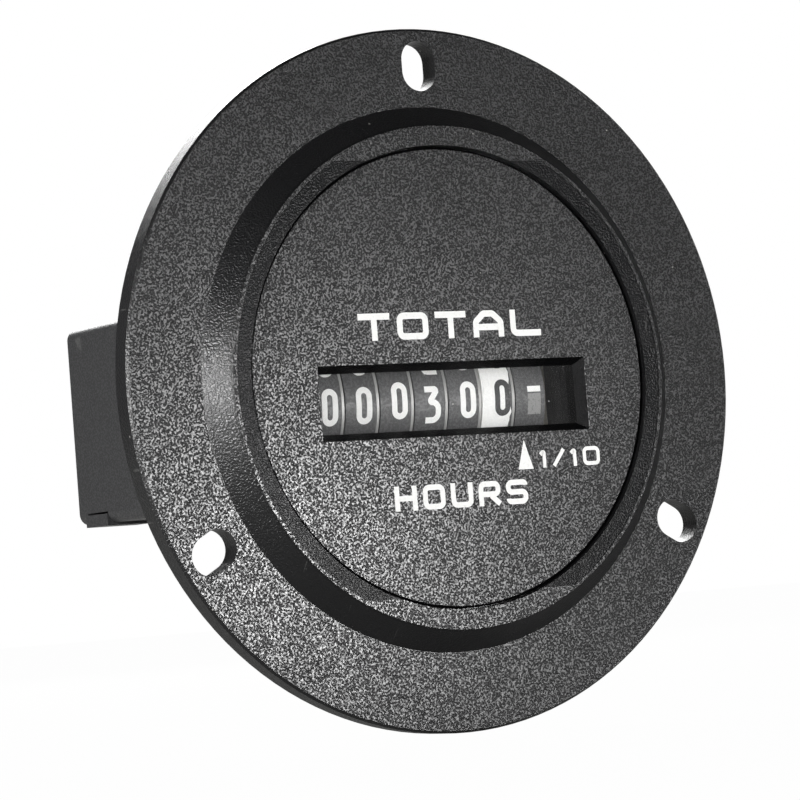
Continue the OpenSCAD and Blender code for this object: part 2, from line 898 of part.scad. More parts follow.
module first_gear() {
    pinion_angle = first_angle + 180 + 180 / first_leaves;
    color("#ded9c4") {
        arbor(right_in, first_axis);
        along_shaft(second_x - pinion_lap)
            translate(first_axis)
                gear(first_leaves, second_module, gear_t + 2 * pinion_lap, pinion_angle);
        along_shaft(first_x)
            translate(first_axis)
                gear(first_teeth, first_module, gear_t, rotor_angle);
    }
}

// Inner end of the magnet along the shaft
magnet_x = stator_x + stator_t / 2 - magnet_len / 2;

module rotor_pinion() {
    arbor_tail = 0.3;
    pinion_angle = rotor_angle + 180 + 180 / rotor_leaves;
    color("#ded9c4") {
        arbor(magnet_x - arbor_tail, rotor_axis);
        along_shaft(first_x - pinion_lap)
            translate(rotor_axis)
                gear(rotor_leaves, first_module, gear_t + 2 * pinion_lap, pinion_angle);
    }
}

module rotor_magnet() {
    color("#4b4845")
        difference() {
            round_bar(magnet_x, magnet_x + magnet_len, rotor_axis, magnet_d / 2);
            round_bar(magnet_x - cut, magnet_x + magnet_len + cut, rotor_axis, arbor_r + fit_clear);
        }
}

// Skeleton plate that carries the outer ends of the arbors
module gear_bridge() {
    pad_d = bridge_w + 0.8;
    color("#e4e1d6")
        along_shaft(bridge_x)
            linear_extrude(bridge_t)
                difference() {
                    union() {
                        for (p = concat([second_axis, first_axis, rotor_axis], POSTS))
                            translate(p)
                                circle(d = pad_d);
                        arm(second_axis, first_axis, bridge_w);
                        arm(first_axis, rotor_axis, bridge_w);
                        arm(first_axis, POSTS[0], bridge_w);
                        arm(second_axis, POSTS[1], bridge_w);
                        arm(rotor_axis, POSTS[2], bridge_w);
                    }
                    for (p = [second_axis, first_axis, rotor_axis])
                        translate(p)
                            circle(arbor_r + run_clear);
                    for (p = POSTS)
                        translate(p)
                            circle(stake_r + fit_clear);
                }
}

// Magnet plate round the rotor, with two arms up to the coil core
module stator() {
    notch = 0.4;
    color("#8f9194")
        along_shaft(stator_x)
            linear_extrude(stator_t)
                difference() {
                    translate(rotor_axis) {
                        square([2 * stator_half, 2 * stator_half_h], center = true);
                        for (s = [-1, 1])
                            translate([s * (stator_half - arm_w / 2) - arm_w / 2, 0])
                                square([arm_w, coil_z + arm_w / 2 - rotor_axis[1]]);
                    }
                    translate(rotor_axis) {
                        circle(rotor_hole_r);
                        rotate(45)
                            square([2 * (rotor_hole_r + notch / 2), notch], center = true);
                    }
                    for (p = clamp_points())
                        translate(p)
                            circle(screw_r + fit_clear);
                }
}

module coil_core() {
    color("#8f9194")
        along_shaft(core_x)
            linear_extrude(stator_t)
                difference() {
                    union() {
                        translate([rotor_axis[0] - stator_half, coil_z - core_w / 2])
                            square([2 * stator_half, core_w]);
                        for (s = [-1, 1])
                            translate([rotor_axis[0] + s * (stator_half - arm_w / 2), coil_z])
                                square(arm_w, center = true);
                    }
                    for (p = clamp_points())
                        translate(p)
                            circle(screw_r + fit_clear);
                }
}

// Place a shape with its height along Y, centred on the coil
module on_coil() {
    translate([coil_x, rotor_axis[0], coil_z])
        rotate([90, 0, 0])
            children();
}

module coil_bobbin() {
    color("#d8d5c8")
        on_coil()
            difference() {
                union() {
                    cylinder(r = bobbin_tube_r, h = 2 * bobbin_half, center = true);
                    for (s = [-1, 1])
                        translate([0, 0, s * (bobbin_half - bobbin_flange_t / 2)])
                            cylinder(d = bobbin_d, h = bobbin_flange_t, center = true);
                }
                cube([stator_t + 2 * fit_clear, core_w + 2 * fit_clear, 2 * (bobbin_half + cut)],
                     center = true);
            }
}

module coil_winding() {
    winding_r = bobbin_d / 2 - 0.3;
    winding_half = bobbin_half - bobbin_flange_t;
    color("#9a4a24")
        on_coil()
            difference() {
                cylinder(r = winding_r, h = 2 * winding_half, center = true);
                cylinder(r = bobbin_tube_r + fit_clear, h = 2 * (winding_half + cut), center = true);
            }
}

// Two stiff leads from the bobbin's flanges down to the board
module coil_leads() {
    lead_r = 0.25;
    lead_z = coil_z - 1.2;
    lead_reach = 1.2;
    foot_x = board_right - lead_reach;
    start_x = coil_x - sqrt(pow(bobbin_d / 2, 2) - pow(coil_z - lead_z - lead_r, 2));
    color("#b87333")
        for (s = [-1, 1])
            translate([0, rotor_axis[0] + s * (bobbin_half - bobbin_flange_t / 2), 0]) {
                translate([foot_x, 0, board_z])
                    cylinder(r = lead_r, h = lead_z - board_z);
                translate([foot_x, 0, lead_z])
                    sphere(r = lead_r);
                translate([foot_x, 0, lead_z])
                    rotate([0, 90, 0])
                        cylinder(r = lead_r, h = start_x - foot_x - fit_clear);
            }
}

module core_screws() {
    shank = 2 * stator_t + 2;
    color("#b9b9b6")
        along_shaft(core_x)
            for (p = clamp_points())
                translate(p)
                    screw(screw_r, shank, screw_head_r, screw_head_h);
}

module circuit_board() {
    color("#2f6b46")
        translate([0, 0, board_z - board_t])
            linear_extrude(board_t) {
                translate([board_left, board_front])
                    square([board_right - board_left, board_back - board_front]);
                translate([board_left, tongue_front])
                    square([tongue_right - board_left, board_back - tongue_front]);
            }
}

// Timing and driver chip with its eight leads
module driver_chip() {
    color("#2a2a2b")
        translate([chip_x, chip_y, board_z])
            union() {
                translate([-chip_w / 2, -chip_d / 2, chip_stand])
                    cube([chip_w, chip_d, chip_h]);
                for (k = [-1.5:1:1.5], s = [-1, 1])
                    translate([k * lead_pitch - lead_w / 2, (s * chip_d - lead_d) / 2, 0])
                        cube([lead_w, lead_d, chip_stand + chip_h / 2]);
            }
}

// A round component that lies on the board along Y, with a lead at each end
module lying_component(x, y, d, length, lead_r, lead_len) {
    lift = d / 2 + fit_clear;
    translate([x, y, board_z + lift])
        rotate([-90, 0, 0]) {
            cylinder(d = d, h = length);
            for (z = [-lead_len, length - cut])
                translate([0, 0, z])
                    cylinder(r = lead_r, h = lead_len + cut);
        }
    for (z = [y - lead_len, y + length + lead_len])
        translate([x, z, board_z]) {
            cylinder(r = lead_r, h = lift);
            translate([0, 0, lift])
                sphere(r = lead_r);
        }
}

module quartz_crystal() {
    color("#c9ccd0")
        lying_component(coil_side_x, crystal_y, crystal_d, crystal_len, 0.2, 1);
}

module filter_capacitor() {
    color("#31415f")
        lying_component(capacitor_x, capacitor_y, capacitor_d, capacitor_len, 0.3, 1.2);
}

module rectifier_diode() {
    color("#2b2b2c")
        lying_component(diode_x, diode_y, diode_d, diode_len, 0.35, 0.9);
}

module dropping_resistor() {
    color("#c9a77a")
        lying_component(coil_side_x, resistor_y, resistor_d, resistor_len, 0.3, 0.9);
}

mounting_bezel();
face_plate();
window_lens();
case_body();
rear_cover();
terminal_positive();
terminal_negative();
counter_frame();
frame_screws();
wheel_shaft();
number_wheel(0);  // wheel_ten_thousands
number_wheel(1);  // wheel_thousands
number_wheel(2);  // wheel_hundreds
number_wheel(3);  // wheel_tens
number_wheel(4);  // wheel_units
number_wheel(5);  // wheel_tenths
run_wheel();
pinion_carrier(0);  // carrier_thousands
pinion_carrier(1);  // carrier_hundreds
pinion_carrier(2);  // carrier_tens
pinion_carrier(3);  // carrier_units
pinion_carrier(4);  // carrier_tenths
pinion_carrier(5);  // carrier_run
transfer_pinion(0);  // pinion_thousands
transfer_pinion(1);  // pinion_hundreds
transfer_pinion(2);  // pinion_tens
transfer_pinion(3);  // pinion_units
transfer_pinion(4);  // pinion_tenths
transfer_pinion(5);  // pinion_run
second_gear();
first_gear();
rotor_pinion();
rotor_magnet();
gear_bridge();
stator();
coil_core();
coil_bobbin();
coil_winding();
coil_leads();
core_screws();
circuit_board();
driver_chip();
quartz_crystal();
filter_capacitor();
rectifier_diode();
dropping_resistor();
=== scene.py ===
"""Looks of a panel hour meter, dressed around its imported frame.

The face looks along -Y and +Z is up. Sizes in the classes are millimetres, and meshes are in metres.
"""

import logging
import math
from collections.abc import Callable, Mapping, Sequence
from dataclasses import dataclass, field
from enum import Enum
from typing import Any

import bmesh
import bpy
from mathutils import Matrix, Vector


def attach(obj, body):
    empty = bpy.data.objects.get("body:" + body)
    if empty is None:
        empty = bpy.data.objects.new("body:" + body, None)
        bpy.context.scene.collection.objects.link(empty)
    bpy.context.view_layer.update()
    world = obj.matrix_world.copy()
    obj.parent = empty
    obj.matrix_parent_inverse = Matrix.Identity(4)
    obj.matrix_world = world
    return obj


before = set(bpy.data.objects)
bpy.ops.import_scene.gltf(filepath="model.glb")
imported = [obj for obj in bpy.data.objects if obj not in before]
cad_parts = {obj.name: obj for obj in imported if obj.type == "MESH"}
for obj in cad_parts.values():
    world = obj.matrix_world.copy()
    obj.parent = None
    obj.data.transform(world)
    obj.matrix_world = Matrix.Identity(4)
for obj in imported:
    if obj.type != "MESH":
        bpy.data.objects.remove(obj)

LOG = logging.getLogger("hour_meter")
MM = 0.001
HOUSING = "housing"
WHITE = (1.0, 1.0, 1.0, 1.0)
NOISE_MEAN = 0.5

Point = tuple[float, float]
Triple = tuple[float, float, float]
Box = tuple[float, float, float, float]
Colour = tuple[float, float, float, float]
Node = bpy.types.Node
Outputs = bpy.types.NodeOutputs
Socket = bpy.types.NodeSocket
Material = bpy.types.Material
Piece = bpy.types.Object
Placer = Callable[[float, float, float], Vector]


def tint(code: str) -> Colour:
    """Turn a display colour into linear light by the sRGB curve.

    Args:
        code: Colour as #rrggbb.

    Returns:
        Red, green, blue and alpha.
    """
    parts = [int(code[i : i + 2], 16) / 255 for i in (1, 3, 5)]
    light = [p / 12.92 if p <= 0.04045 else ((p + 0.055) / 1.055) ** 2.4 for p in parts]
    return (light[0], light[1], light[2], 1.0)


class Graph:
    """Writes nodes into one shader or geometry tree."""

    def __init__(self, tree: bpy.types.NodeTree) -> None:
        """Keep the tree that the nodes go into."""
        self.tree = tree

    def put(self, socket: Socket, value: Any) -> None:
        """Feed an input.

        Args:
            socket: The input.
            value: A socket to link it to, or its own value.
        """
        if isinstance(value, bpy.types.NodeSocket):
            self.tree.links.new(value, socket)
        else:
            socket.default_value = value

    def add(self, kind: str, inputs: Mapping[Any, Any] | None = None, **settings: Any) -> Node:
        """Add a node.

        Args:
            kind: Blender's name of the node type.
            inputs: Values or sockets by input name or index.
            settings: Properties of the node itself.

        Returns:
            The new node.
        """
        node = self.tree.nodes.new(kind)
        for name, value in settings.items():
            setattr(node, name, value)
        for key, value in (inputs or {}).items():
            self.put(node.inputs[key], value)
        return node

    def math(self, operation: str, *values: Any) -> Socket:
        """Return the result of a math node on the values."""
        return self.add("ShaderNodeMath", dict(enumerate(values)), operation=operation).outputs[0]

    def times(self, first: Any, *others: Any) -> Socket:
        """Return the product of the values.

        Args:
            first: First factor.
            others: Factors that follow.

        Returns:
            The product.
        """
        for other in others:
            first = self.math("MULTIPLY", first, other)
        return first

    def above(self, value: Any, limit: Any) -> Socket:
        """Return 1 where the value is over the limit."""
        return self.math("GREATER_THAN", value, limit)

    def below(self, value: Any, limit: Any) -> Socket:
        """Return 1 where the value is under the limit."""
        return self.math("LESS_THAN", value, limit)

    def fade(self, value: Any, low: float, high: float) -> Socket:
        """Return a soft step of the value, from 0 at low to 1 at high."""
        ends = {"Value": value, "From Min": low, "From Max": high}
        return self.add("ShaderNodeMapRange", ends, interpolation_type="SMOOTHSTEP").outputs["Result"]

    def blend(self, factor: Any, first: Any, second: Any) -> Socket:
        """Return a mix of two colours."""
        return self.add("ShaderNodeMix", {0: factor, 6: first, 7: second}, data_type="RGBA").outputs[2]

    def between(self, factor: Any, first: Any, second: Any) -> Socket:
        """Return a mix of two numbers."""
        return self.add("ShaderNodeMix", {0: factor, 2: first, 3: second}, data_type="FLOAT").outputs[0]

    def noise(self, place: Any, size_mm: float, detail: float = 2.0, distortion: float = 0.0) -> Socket:
        """Return noise with features of about the size given."""
        values = {"Vector": place, "Scale": 1 / (size_mm * MM), "Detail": detail, "Distortion": distortion}
        return self.add("ShaderNodeTexNoise", values).outputs["Fac"]

    def stretch(self, place: Any, scale: Sequence[float]) -> Socket:
        """Return coordinates that are scaled along each axis."""
        return self.add("ShaderNodeMapping", {"Vector": place, "Scale": tuple(scale)}).outputs[0]

    def axes(self, place: Any) -> Outputs:
        """Return the three coordinates of a place."""
        return self.add("ShaderNodeSeparateXYZ", {0: place}).outputs


class SharedEffect(Enum):
    """Surface effects that several finishes use."""

    GRAIN = "mould_grain"
    WEAR = "handling_wear"
    DUST = "fine_dust"


@dataclass(frozen=True)
class EffectShapes:
    """Shapes of the shared effects: noise as size, detail and distortion, fades as their two ends."""

    grain_cells: float = 4800.0
    grain_detail: float = 0.8
    grain_roughness: float = 0.5
    grain_distortion: float = 0.1
    grain_height: Point = (0.34, 0.66)
    grain_peak: Point = (0.44, 0.61)
    wear_amount: float = 0.3
    rub_noise: Triple = (9.0, 3.0, 0.4)
    rub_fade: Point = (0.45, 0.75)
    hairline_stretch: Triple = (1.0, 0.03, 0.03)
    hairline_noise: Point = (0.1, 0.0)
    hairline_fade: Point = (0.74, 0.82)
    sparse_noise: Point = (4.0, 1.0)
    sparse_fade: Point = (0.52, 0.66)
    dust_density: float = 0.1
    dust_cells: float = 700.0
    dust_fade: Point = (0.085, 0.04)


class EffectBook:
    """Makes each shared effect once and places it in materials."""

    def __init__(self, shapes: EffectShapes) -> None:
        """Build the shader groups.

        Args:
            shapes: Shapes of the effects.
        """
        self.shapes = shapes
        self.groups: dict[SharedEffect, bpy.types.NodeTree] = {
            SharedEffect.GRAIN: self._grain(),
            SharedEffect.WEAR: self._wear(),
            SharedEffect.DUST: self._dust(),
        }

    @staticmethod
    def _open(
        effect: SharedEffect, inputs: Mapping[str, float], outputs: Sequence[str]
    ) -> tuple[Graph, Outputs, Node]:
        """Start a group with a place input.

        Args:
            effect: The effect, whose value names the group.
            inputs: Names and defaults of its number inputs.
            outputs: Names of its number outputs.

        Returns:
            The graph, its inputs and its output node.
        """
        tree = bpy.data.node_groups.new(effect.value, "ShaderNodeTree")
        tree.interface.new_socket("Place", in_out="INPUT", socket_type="NodeSocketVector")
        for key, value in inputs.items():
            made = tree.interface.new_socket(key, in_out="INPUT", socket_type="NodeSocketFloat")
            made.default_value = value
        for key in outputs:
            tree.interface.new_socket(key, in_out="OUTPUT", socket_type="NodeSocketFloat")
        graph = Graph(tree)
        return graph, graph.add("NodeGroupInput").outputs, graph.add("NodeGroupOutput")

    def _grain(self) -> bpy.types.NodeTree:
        """Make the worm-like grain of a spark-eroded mould.

        Returns:
            The group.
        """
        shapes = self.shapes
        inputs = {"Scale": shapes.grain_cells}
        graph, given, out = self._open(SharedEffect.GRAIN, inputs, ("Height", "Peak"))
        values = {
            "Vector": given["Place"],
            "Scale": given["Scale"],
            "Detail": shapes.grain_detail,
            "Roughness": shapes.grain_roughness,
            "Distortion": shapes.grain_distortion,
        }
        level = graph.add("ShaderNodeTexNoise", values).outputs["Fac"]
        graph.put(out.inputs["Height"], graph.fade(level, *shapes.grain_height))
        graph.put(out.inputs["Peak"], graph.fade(level, *shapes.grain_peak))
        return graph.tree

    def _wear(self) -> bpy.types.NodeTree:
        """Make rubbed patches and fine hairlines from handling.

        Returns:
            The group.
        """
        shapes = self.shapes
        inputs = {"Amount": shapes.wear_amount}
        graph, given, out = self._open(SharedEffect.WEAR, inputs, ("Rub", "Hairline"))
        place, amount = given["Place"], given["Amount"]
        rub = graph.fade(graph.noise(place, *shapes.rub_noise), *shapes.rub_fade)
        graph.put(out.inputs["Rub"], graph.times(rub, amount))
        lines = graph.noise(graph.stretch(place, shapes.hairline_stretch), *shapes.hairline_noise)
        thin = graph.fade(lines, *shapes.hairline_fade)
        sparse = graph.fade(graph.noise(place, *shapes.sparse_noise), *shapes.sparse_fade)
        graph.put(out.inputs["Hairline"], graph.times(thin, sparse, amount))
        return graph.tree

    def _dust(self) -> bpy.types.NodeTree:
        """Make sparse pale specks.

        Returns:
            The group.
        """
        shapes = self.shapes
        inputs = {"Density": shapes.dust_density}
        graph, given, out = self._open(SharedEffect.DUST, inputs, ("Speck",))
        values = {"Vector": given["Place"], "Scale": shapes.dust_cells}
        cells = graph.add("ShaderNodeTexVoronoi", values).outputs
        near = graph.fade(cells["Distance"], *shapes.dust_fade)
        pick = graph.add("ShaderNodeSeparateColor", {0: cells["Color"]}).outputs[0]
        graph.put(out.inputs["Speck"], graph.times(near, graph.below(pick, given["Density"])))
        return graph.tree

    def place(self, graph: Graph, effect: SharedEffect, place: Socket, **values: float) -> Outputs:
        """Put an effect into a material.

        Args:
            graph: Graph of the material.
            effect: The effect wanted.
            place: Coordinates to read.
            values: Values of the effect's inputs.

        Returns:
            The effect's outputs.
        """
        node = graph.add("ShaderNodeGroup", node_tree=self.groups[effect])
        graph.put(node.inputs["Place"], place)
        for key, value in values.items():
            node.inputs[key].default_value = value
        return node.outputs


EFFECTS = EffectBook(EffectShapes())


@dataclass(frozen=True)
class Finish:
    """A surface finish that makes one material."""

    name: str
    colour: str

    def start(self) -> tuple[Material, Graph, Node, Socket]:
        """Open the material.

        Returns:
            The material, its graph, its Principled shader and the object coordinates.
        """
        material = bpy.data.materials.new(self.name)
        material.use_nodes = True
        graph = Graph(material.node_tree)
        shader = material.node_tree.nodes["Principled BSDF"]
        return material, graph, shader, graph.add("ShaderNodeTexCoord").outputs["Object"]

    def bump(self, graph: Graph, shader: Node, height: Socket, depth_mm: float) -> None:
        """Drive the shader's normal from a height of 0 to 1 and a depth."""
        node = graph.add("ShaderNodeBump", {"Height": height, "Distance": depth_mm * MM, "Strength": 1.0})
        graph.put(shader.inputs["Normal"], node.outputs["Normal"])

    def material(self) -> Material:
        """Return the finished material."""
        raise NotImplementedError


@dataclass(frozen=True)
class MouldedPlastic(Finish):
    """Injection-moulded plastic with a mould grain, light wear and dust."""

    peak: str = "#5a5a5b"
    roughness: float = 0.42
    specular: float = 0.5
    sheen: float = 0.0
    sheen_roughness: float = 0.33
    grain_mm: float = 0.2
    depth_mm: float = 0.03
    satin_mm: float = 0.14
    satin_share: float = 0.12
    grain_roughness: float = 0.14
    wear: float = 0.35
    dust: float = 0.12
    mottle_noise: Point = (14.0, 3.0)
    mottle_fade: Point = (0.3, 0.7)
    mottle_share: float = 0.06
    scratched: str = "#8c8c8a"
    scratch_share: float = 0.6
    dusty: str = "#a9a8a4"
    rub_polish: float = 0.12

    def grain_place(self, graph: Graph, place: Socket) -> Socket:
        """Return the coordinates that the grain is read at."""
        return place

    def grained(self, graph: Graph, place: Socket) -> Any:
        """Return how far the mould grain shows, from 0 to 1."""
        return 1.0

    def shaded(self, graph: Graph, place: Socket, colour: Socket) -> Socket:
        """Return the colour with any change by place on the piece."""
        return colour

    def gloss(self, graph: Graph, place: Socket) -> Any:
        """Return how strongly the surface mirrors light."""
        return self.specular

    def material(self) -> Material:
        """Make the plastic.

        Returns:
            The material.
        """
        material, graph, shader, place = self.start()
        region = self.grained(graph, place)
        flat = self.grain_place(graph, place)
        grain = EFFECTS.place(graph, SharedEffect.GRAIN, flat, Scale=1 / (self.grain_mm * MM))
        satin = EFFECTS.place(graph, SharedEffect.GRAIN, place, Scale=1 / (self.satin_mm * MM))
        wear = EFFECTS.place(graph, SharedEffect.WEAR, place, Amount=self.wear)
        dust = EFFECTS.place(graph, SharedEffect.DUST, place, Density=self.dust)
        peak = graph.times(grain["Peak"], region)
        mottle = graph.fade(graph.noise(place, *self.mottle_noise), *self.mottle_fade)
        base = graph.blend(graph.times(mottle, self.mottle_share), tint(self.colour), tint(self.peak))
        base = graph.blend(peak, base, tint(self.peak))
        base = graph.blend(graph.times(wear["Hairline"], self.scratch_share), base, tint(self.scratched))
        base = graph.blend(dust["Speck"], base, tint(self.dusty))
        graph.put(shader.inputs["Base Color"], self.shaded(graph, place, base))
        valley = graph.between(grain["Peak"], self.roughness + self.grain_roughness, self.roughness)
        rough = graph.between(region, self.roughness, valley)
        rough = graph.math("SUBTRACT", rough, graph.times(wear["Rub"], self.rub_polish))
        graph.put(shader.inputs["Roughness"], rough)
        graph.put(shader.inputs["Specular IOR Level"], self.gloss(graph, place))
        if self.sheen:
            graph.put(shader.inputs["Coat Weight"], graph.times(peak, self.sheen))
            shader.inputs["Coat Roughness"].default_value = self.sheen_roughness
        fine = graph.times(satin["Height"], self.satin_share)
        self.bump(graph, shader, graph.between(region, fine, grain["Height"]), self.depth_mm)
        return material


@dataclass(frozen=True)
class FrontPlastic(MouldedPlastic):
    """Plastic of a front piece, with a shining grain laid on planes that face the viewer."""

    peak: str = "#3c3c3d"
    roughness: float = 0.3
    sheen: float = 1.0
    grain_mm: float = 0.205
    depth_mm: float = 0.11
    grain_roughness: float = 0.2
    # Colour of painted shade on the bezel's ring chamfer, on the seat behind the lens and on the window's
    # walls.
    dark: str = "#0d0d0e"
    wall_specular: float = 0.04
    grain_specular: float = 0.42
    grain_turn: Triple = (0.61, 0.53, 0.7)

    def grain_place(self, graph: Graph, place: Socket) -> Socket:
        """Return the coordinates without their depth, so that planes of any depth have the same grain.

        Args:
            graph: Graph of the material.
            place: Object coordinates.

        Returns:
            The turned flat coordinates.
        """
        axes = graph.axes(place)
        flat = graph.add("ShaderNodeCombineXYZ", {0: axes[0], 2: axes[2]}).outputs[0]
        return graph.add("ShaderNodeMapping", {"Vector": flat, "Rotation": self.grain_turn}).outputs[0]


@dataclass(frozen=True)
class BezelPlastic(FrontPlastic):
    """Bezel plastic: grained on flange and ring, satin on walls and recesses, with painted shade on the
    seat behind the lens.
    """

    flange_y: float = -2.3
    flange_r: Point = (27.9, 35.7)
    ring_y: float = -4.82
    # Band of painted shade on the chamfer at the top of the ring's outer wall.
    edge_y: Point = (-4.84, -4.66)
    edge_r: float = 25.5
    edge_share: float = 0.7
    band_y: float = -4.7
    band_r: float = 25.4
    band_specular: float = 0.15
    # Seat behind the lens, which gets painted shade.
    seat_y: float = -3.3
    seat_r: float = 23.0

    @staticmethod
    def _polar(graph: Graph, place: Socket) -> tuple[Socket, Socket]:
        """Return the radius and the depth of a place.

        Args:
            graph: Graph of the material.
            place: Object coordinates.

        Returns:
            Distance from the Y axis, and Y.
        """
        axes = graph.axes(place)
        across, up = (graph.math("POWER", axes[k], 2.0) for k in (0, 2))
        return graph.math("SQRT", graph.math("ADD", across, up)), axes[1]

    def grained(self, graph: Graph, place: Socket) -> Socket:
        """Return 1 on the flange's face and on the top of the ring.

        Args:
            graph: Graph of the material.
            place: Object coordinates.

        Returns:
            The mask.
        """
        radius, depth = self._polar(graph, place)
        outside = graph.above(radius, self.flange_r[0] * MM)
        inside = graph.below(radius, self.flange_r[1] * MM)
        front = graph.below(depth, self.flange_y * MM)
        ring = graph.below(depth, self.ring_y * MM)
        return graph.math("MAXIMUM", graph.times(outside, inside, front), ring)

    def _seat(self, graph: Graph, place: Socket) -> Socket:
        """Return 1 behind the lens, where shade is painted into the colour and the gloss is lowest.

        Args:
            graph: Graph of the material.
            place: Object coordinates.

        Returns:
            The mask.
        """
        radius, depth = self._polar(graph, place)
        behind = graph.above(depth, self.seat_y * MM)
        return graph.times(behind, graph.below(radius, self.seat_r * MM))

    def shaded(self, graph: Graph, place: Socket, colour: Socket) -> Socket:
        """Paint shade on the ring's sharp outer edge and on the seat behind the lens.

        Args:
            graph: Graph of the material.
            place: Object coordinates.
            colour: Colour so far.

        Returns:
            The new colour.
        """
        radius, depth = self._polar(graph, place)
        # Painted shade: the ring's outer chamfer is darkened in colour.
        low = graph.above(depth, self.edge_y[0] * MM)
        high = graph.below(depth, self.edge_y[1] * MM)
        edge = graph.times(low, high, graph.above(radius, self.edge_r * MM))
        colour = graph.blend(graph.times(edge, self.edge_share), colour, tint(self.dark))
        # Painted shade on the seat behind the lens.
        return graph.blend(self._seat(graph, place), colour, tint(self.dark))

    def gloss(self, graph: Graph, place: Socket) -> Socket:
        """Return the gloss, which is low in the recesses and lowest behind the lens.

        Args:
            graph: Graph of the material.
            place: Object coordinates.

        Returns:
            The specular level.
        """
        radius, depth = self._polar(graph, place)
        band = graph.times(graph.below(depth, self.band_y * MM), graph.below(radius, self.band_r * MM))
        outer = graph.between(band, self.specular, self.band_specular)
        outer = graph.between(self.grained(graph, place), outer, self.grain_specular)
        return graph.between(self._seat(graph, place), outer, self.wall_specular)


@dataclass(frozen=True)
class FacePlastic(FrontPlastic):
    """Face plastic: grained in front, smooth and with painted shade on the window's walls."""

    front_y: float = -4.25

    def grained(self, graph: Graph, place: Socket) -> Socket:
        """Return 1 on the front plane of the face."""
        return graph.below(graph.axes(place)[1], self.front_y * MM)

    def shaded(self, graph: Graph, place: Socket, colour: Socket) -> Socket:
        """Return the colour, with shade painted on the window's walls."""
        return graph.blend(self.grained(graph, place), tint(self.dark), colour)

    def gloss(self, graph: Graph, place: Socket) -> Socket:
        """Return the gloss, which is lowest on the window's walls."""
        return graph.between(self.grained(graph, place), self.wall_specular, self.grain_specular)


@dataclass(frozen=True)
class WheelPlastic(MouldedPlastic):
    """Wheel plastic in two colours, with a border across the wheel that may be uneven."""

    border_x: float = 12.83
    border_noise: Point = (1.1, 1.0)
    uneven: float = 0.0
    beyond: str = "#dcdcda"

    def shaded(self, graph: Graph, place: Socket, colour: Socket) -> Socket:
        """Change the colour past the border.

        Args:
            graph: Graph of the material.
            place: Object coordinates.
            colour: Colour so far.

        Returns:
            The new colour.
        """
        across = graph.axes(place)[0]
        sway = graph.math("SUBTRACT", graph.noise(place, *self.border_noise), NOISE_MEAN)
        shifted = graph.math("ADD", across, graph.times(sway, self.uneven * MM))
        return graph.blend(graph.above(shifted, self.border_x * MM), colour, tint(self.beyond))


@dataclass(frozen=True)
class ClearPlastic(Finish):
    """Clear lens plastic with a faint haze."""

    hazed: str = "#ffffff"
    alpha: float = 0.012
    haze_noise: Point = (6.0, 3.0)
    haze_fade: Point = (0.35, 0.8)
    haze_share: float = 0.01
    wear: float = 0.5
    rub_share: float = 0.2
    dust: float = 0.15
    dust_share: float = 0.3
    roughness: float = 0.04
    ior: float = 1.49

    def material(self) -> Material:
        """Make the clear plastic.

        Returns:
            The material.
        """
        material, graph, shader, place = self.start()
        wear = EFFECTS.place(graph, SharedEffect.WEAR, place, Amount=self.wear)
        dust = EFFECTS.place(graph, SharedEffect.DUST, place, Density=self.dust)
        haze = graph.fade(graph.noise(place, *self.haze_noise), *self.haze_fade)
        graph.put(shader.inputs["Base Color"], graph.blend(haze, tint(self.colour), tint(self.hazed)))
        clear = graph.math("ADD", self.alpha, graph.times(haze, self.haze_share))
        clear = graph.math("ADD", clear, graph.times(dust["Speck"], self.dust_share))
        graph.put(shader.inputs["Alpha"], clear)
        rough = graph.math("ADD", self.roughness, graph.times(wear["Rub"], self.rub_share))
        graph.put(shader.inputs["Roughness"], rough)
        shader.inputs["IOR"].default_value = self.ior
        return material


@dataclass(frozen=True)
class PrintInk(Finish):
    """Pad-printed ink, a little thin in places."""

    thin: str = "#eeeeeb"
    thin_noise: Point = (0.3, 2.0)
    thin_fade: Point = (0.52, 0.8)
    fine_noise: Point = (0.18, 2.0)
    roughness: Point = (0.45, 0.7)
    depth_mm: float = 0.006

    def material(self) -> Material:
        """Make the ink.

        Returns:
            The material.
        """
        material, graph, shader, place = self.start()
        patch = graph.fade(graph.noise(place, *self.thin_noise), *self.thin_fade)
        graph.put(shader.inputs["Base Color"], graph.blend(patch, tint(self.colour), tint(self.thin)))
        fine = graph.noise(place, *self.fine_noise)
        graph.put(shader.inputs["Roughness"], graph.between(fine, *self.roughness))
        self.bump(graph, shader, fine, self.depth_mm)
        return material


@dataclass(frozen=True)
class SheetMetal(Finish):
    """Rolled or drawn metal with fine lines along one axis."""

    shade: str = "#8a8a88"
    roughness: float = 0.3
    along: Triple = (1.0, 1.0, 1.0)
    metallic: float = 1.0
    line_noise: Point = (0.12, 2.0)
    line_share: float = 0.25
    line_roughness: Point = (-0.06, 0.1)
    stain_noise: Point = (2.5, 3.0)
    stain_fade: Point = (0.5, 0.8)
    stain_share: float = 0.55
    wear: float = 0.6
    rub_share: float = 0.1
    depth_mm: float = 0.004

    def material(self) -> Material:
        """Make the metal.

        Returns:
            The material.
        """
        material, graph, shader, place = self.start()
        lines = graph.noise(graph.stretch(place, self.along), *self.line_noise)
        stain = graph.fade(graph.noise(place, *self.stain_noise), *self.stain_fade)
        wear = EFFECTS.place(graph, SharedEffect.WEAR, place, Amount=self.wear)
        base = graph.blend(graph.times(stain, self.stain_share), tint(self.colour), tint(self.shade))
        base = graph.blend(graph.times(lines, self.line_share), base, tint(self.shade))
        graph.put(shader.inputs["Base Color"], base)
        rough = graph.between(lines, *(self.roughness + change for change in self.line_roughness))
        rough = graph.math("ADD", rough, graph.times(wear["Rub"], self.rub_share))
        graph.put(shader.inputs["Roughness"], rough)
        shader.inputs["Metallic"].default_value = self.metallic
        self.bump(graph, shader, lines, self.depth_mm)
        return material


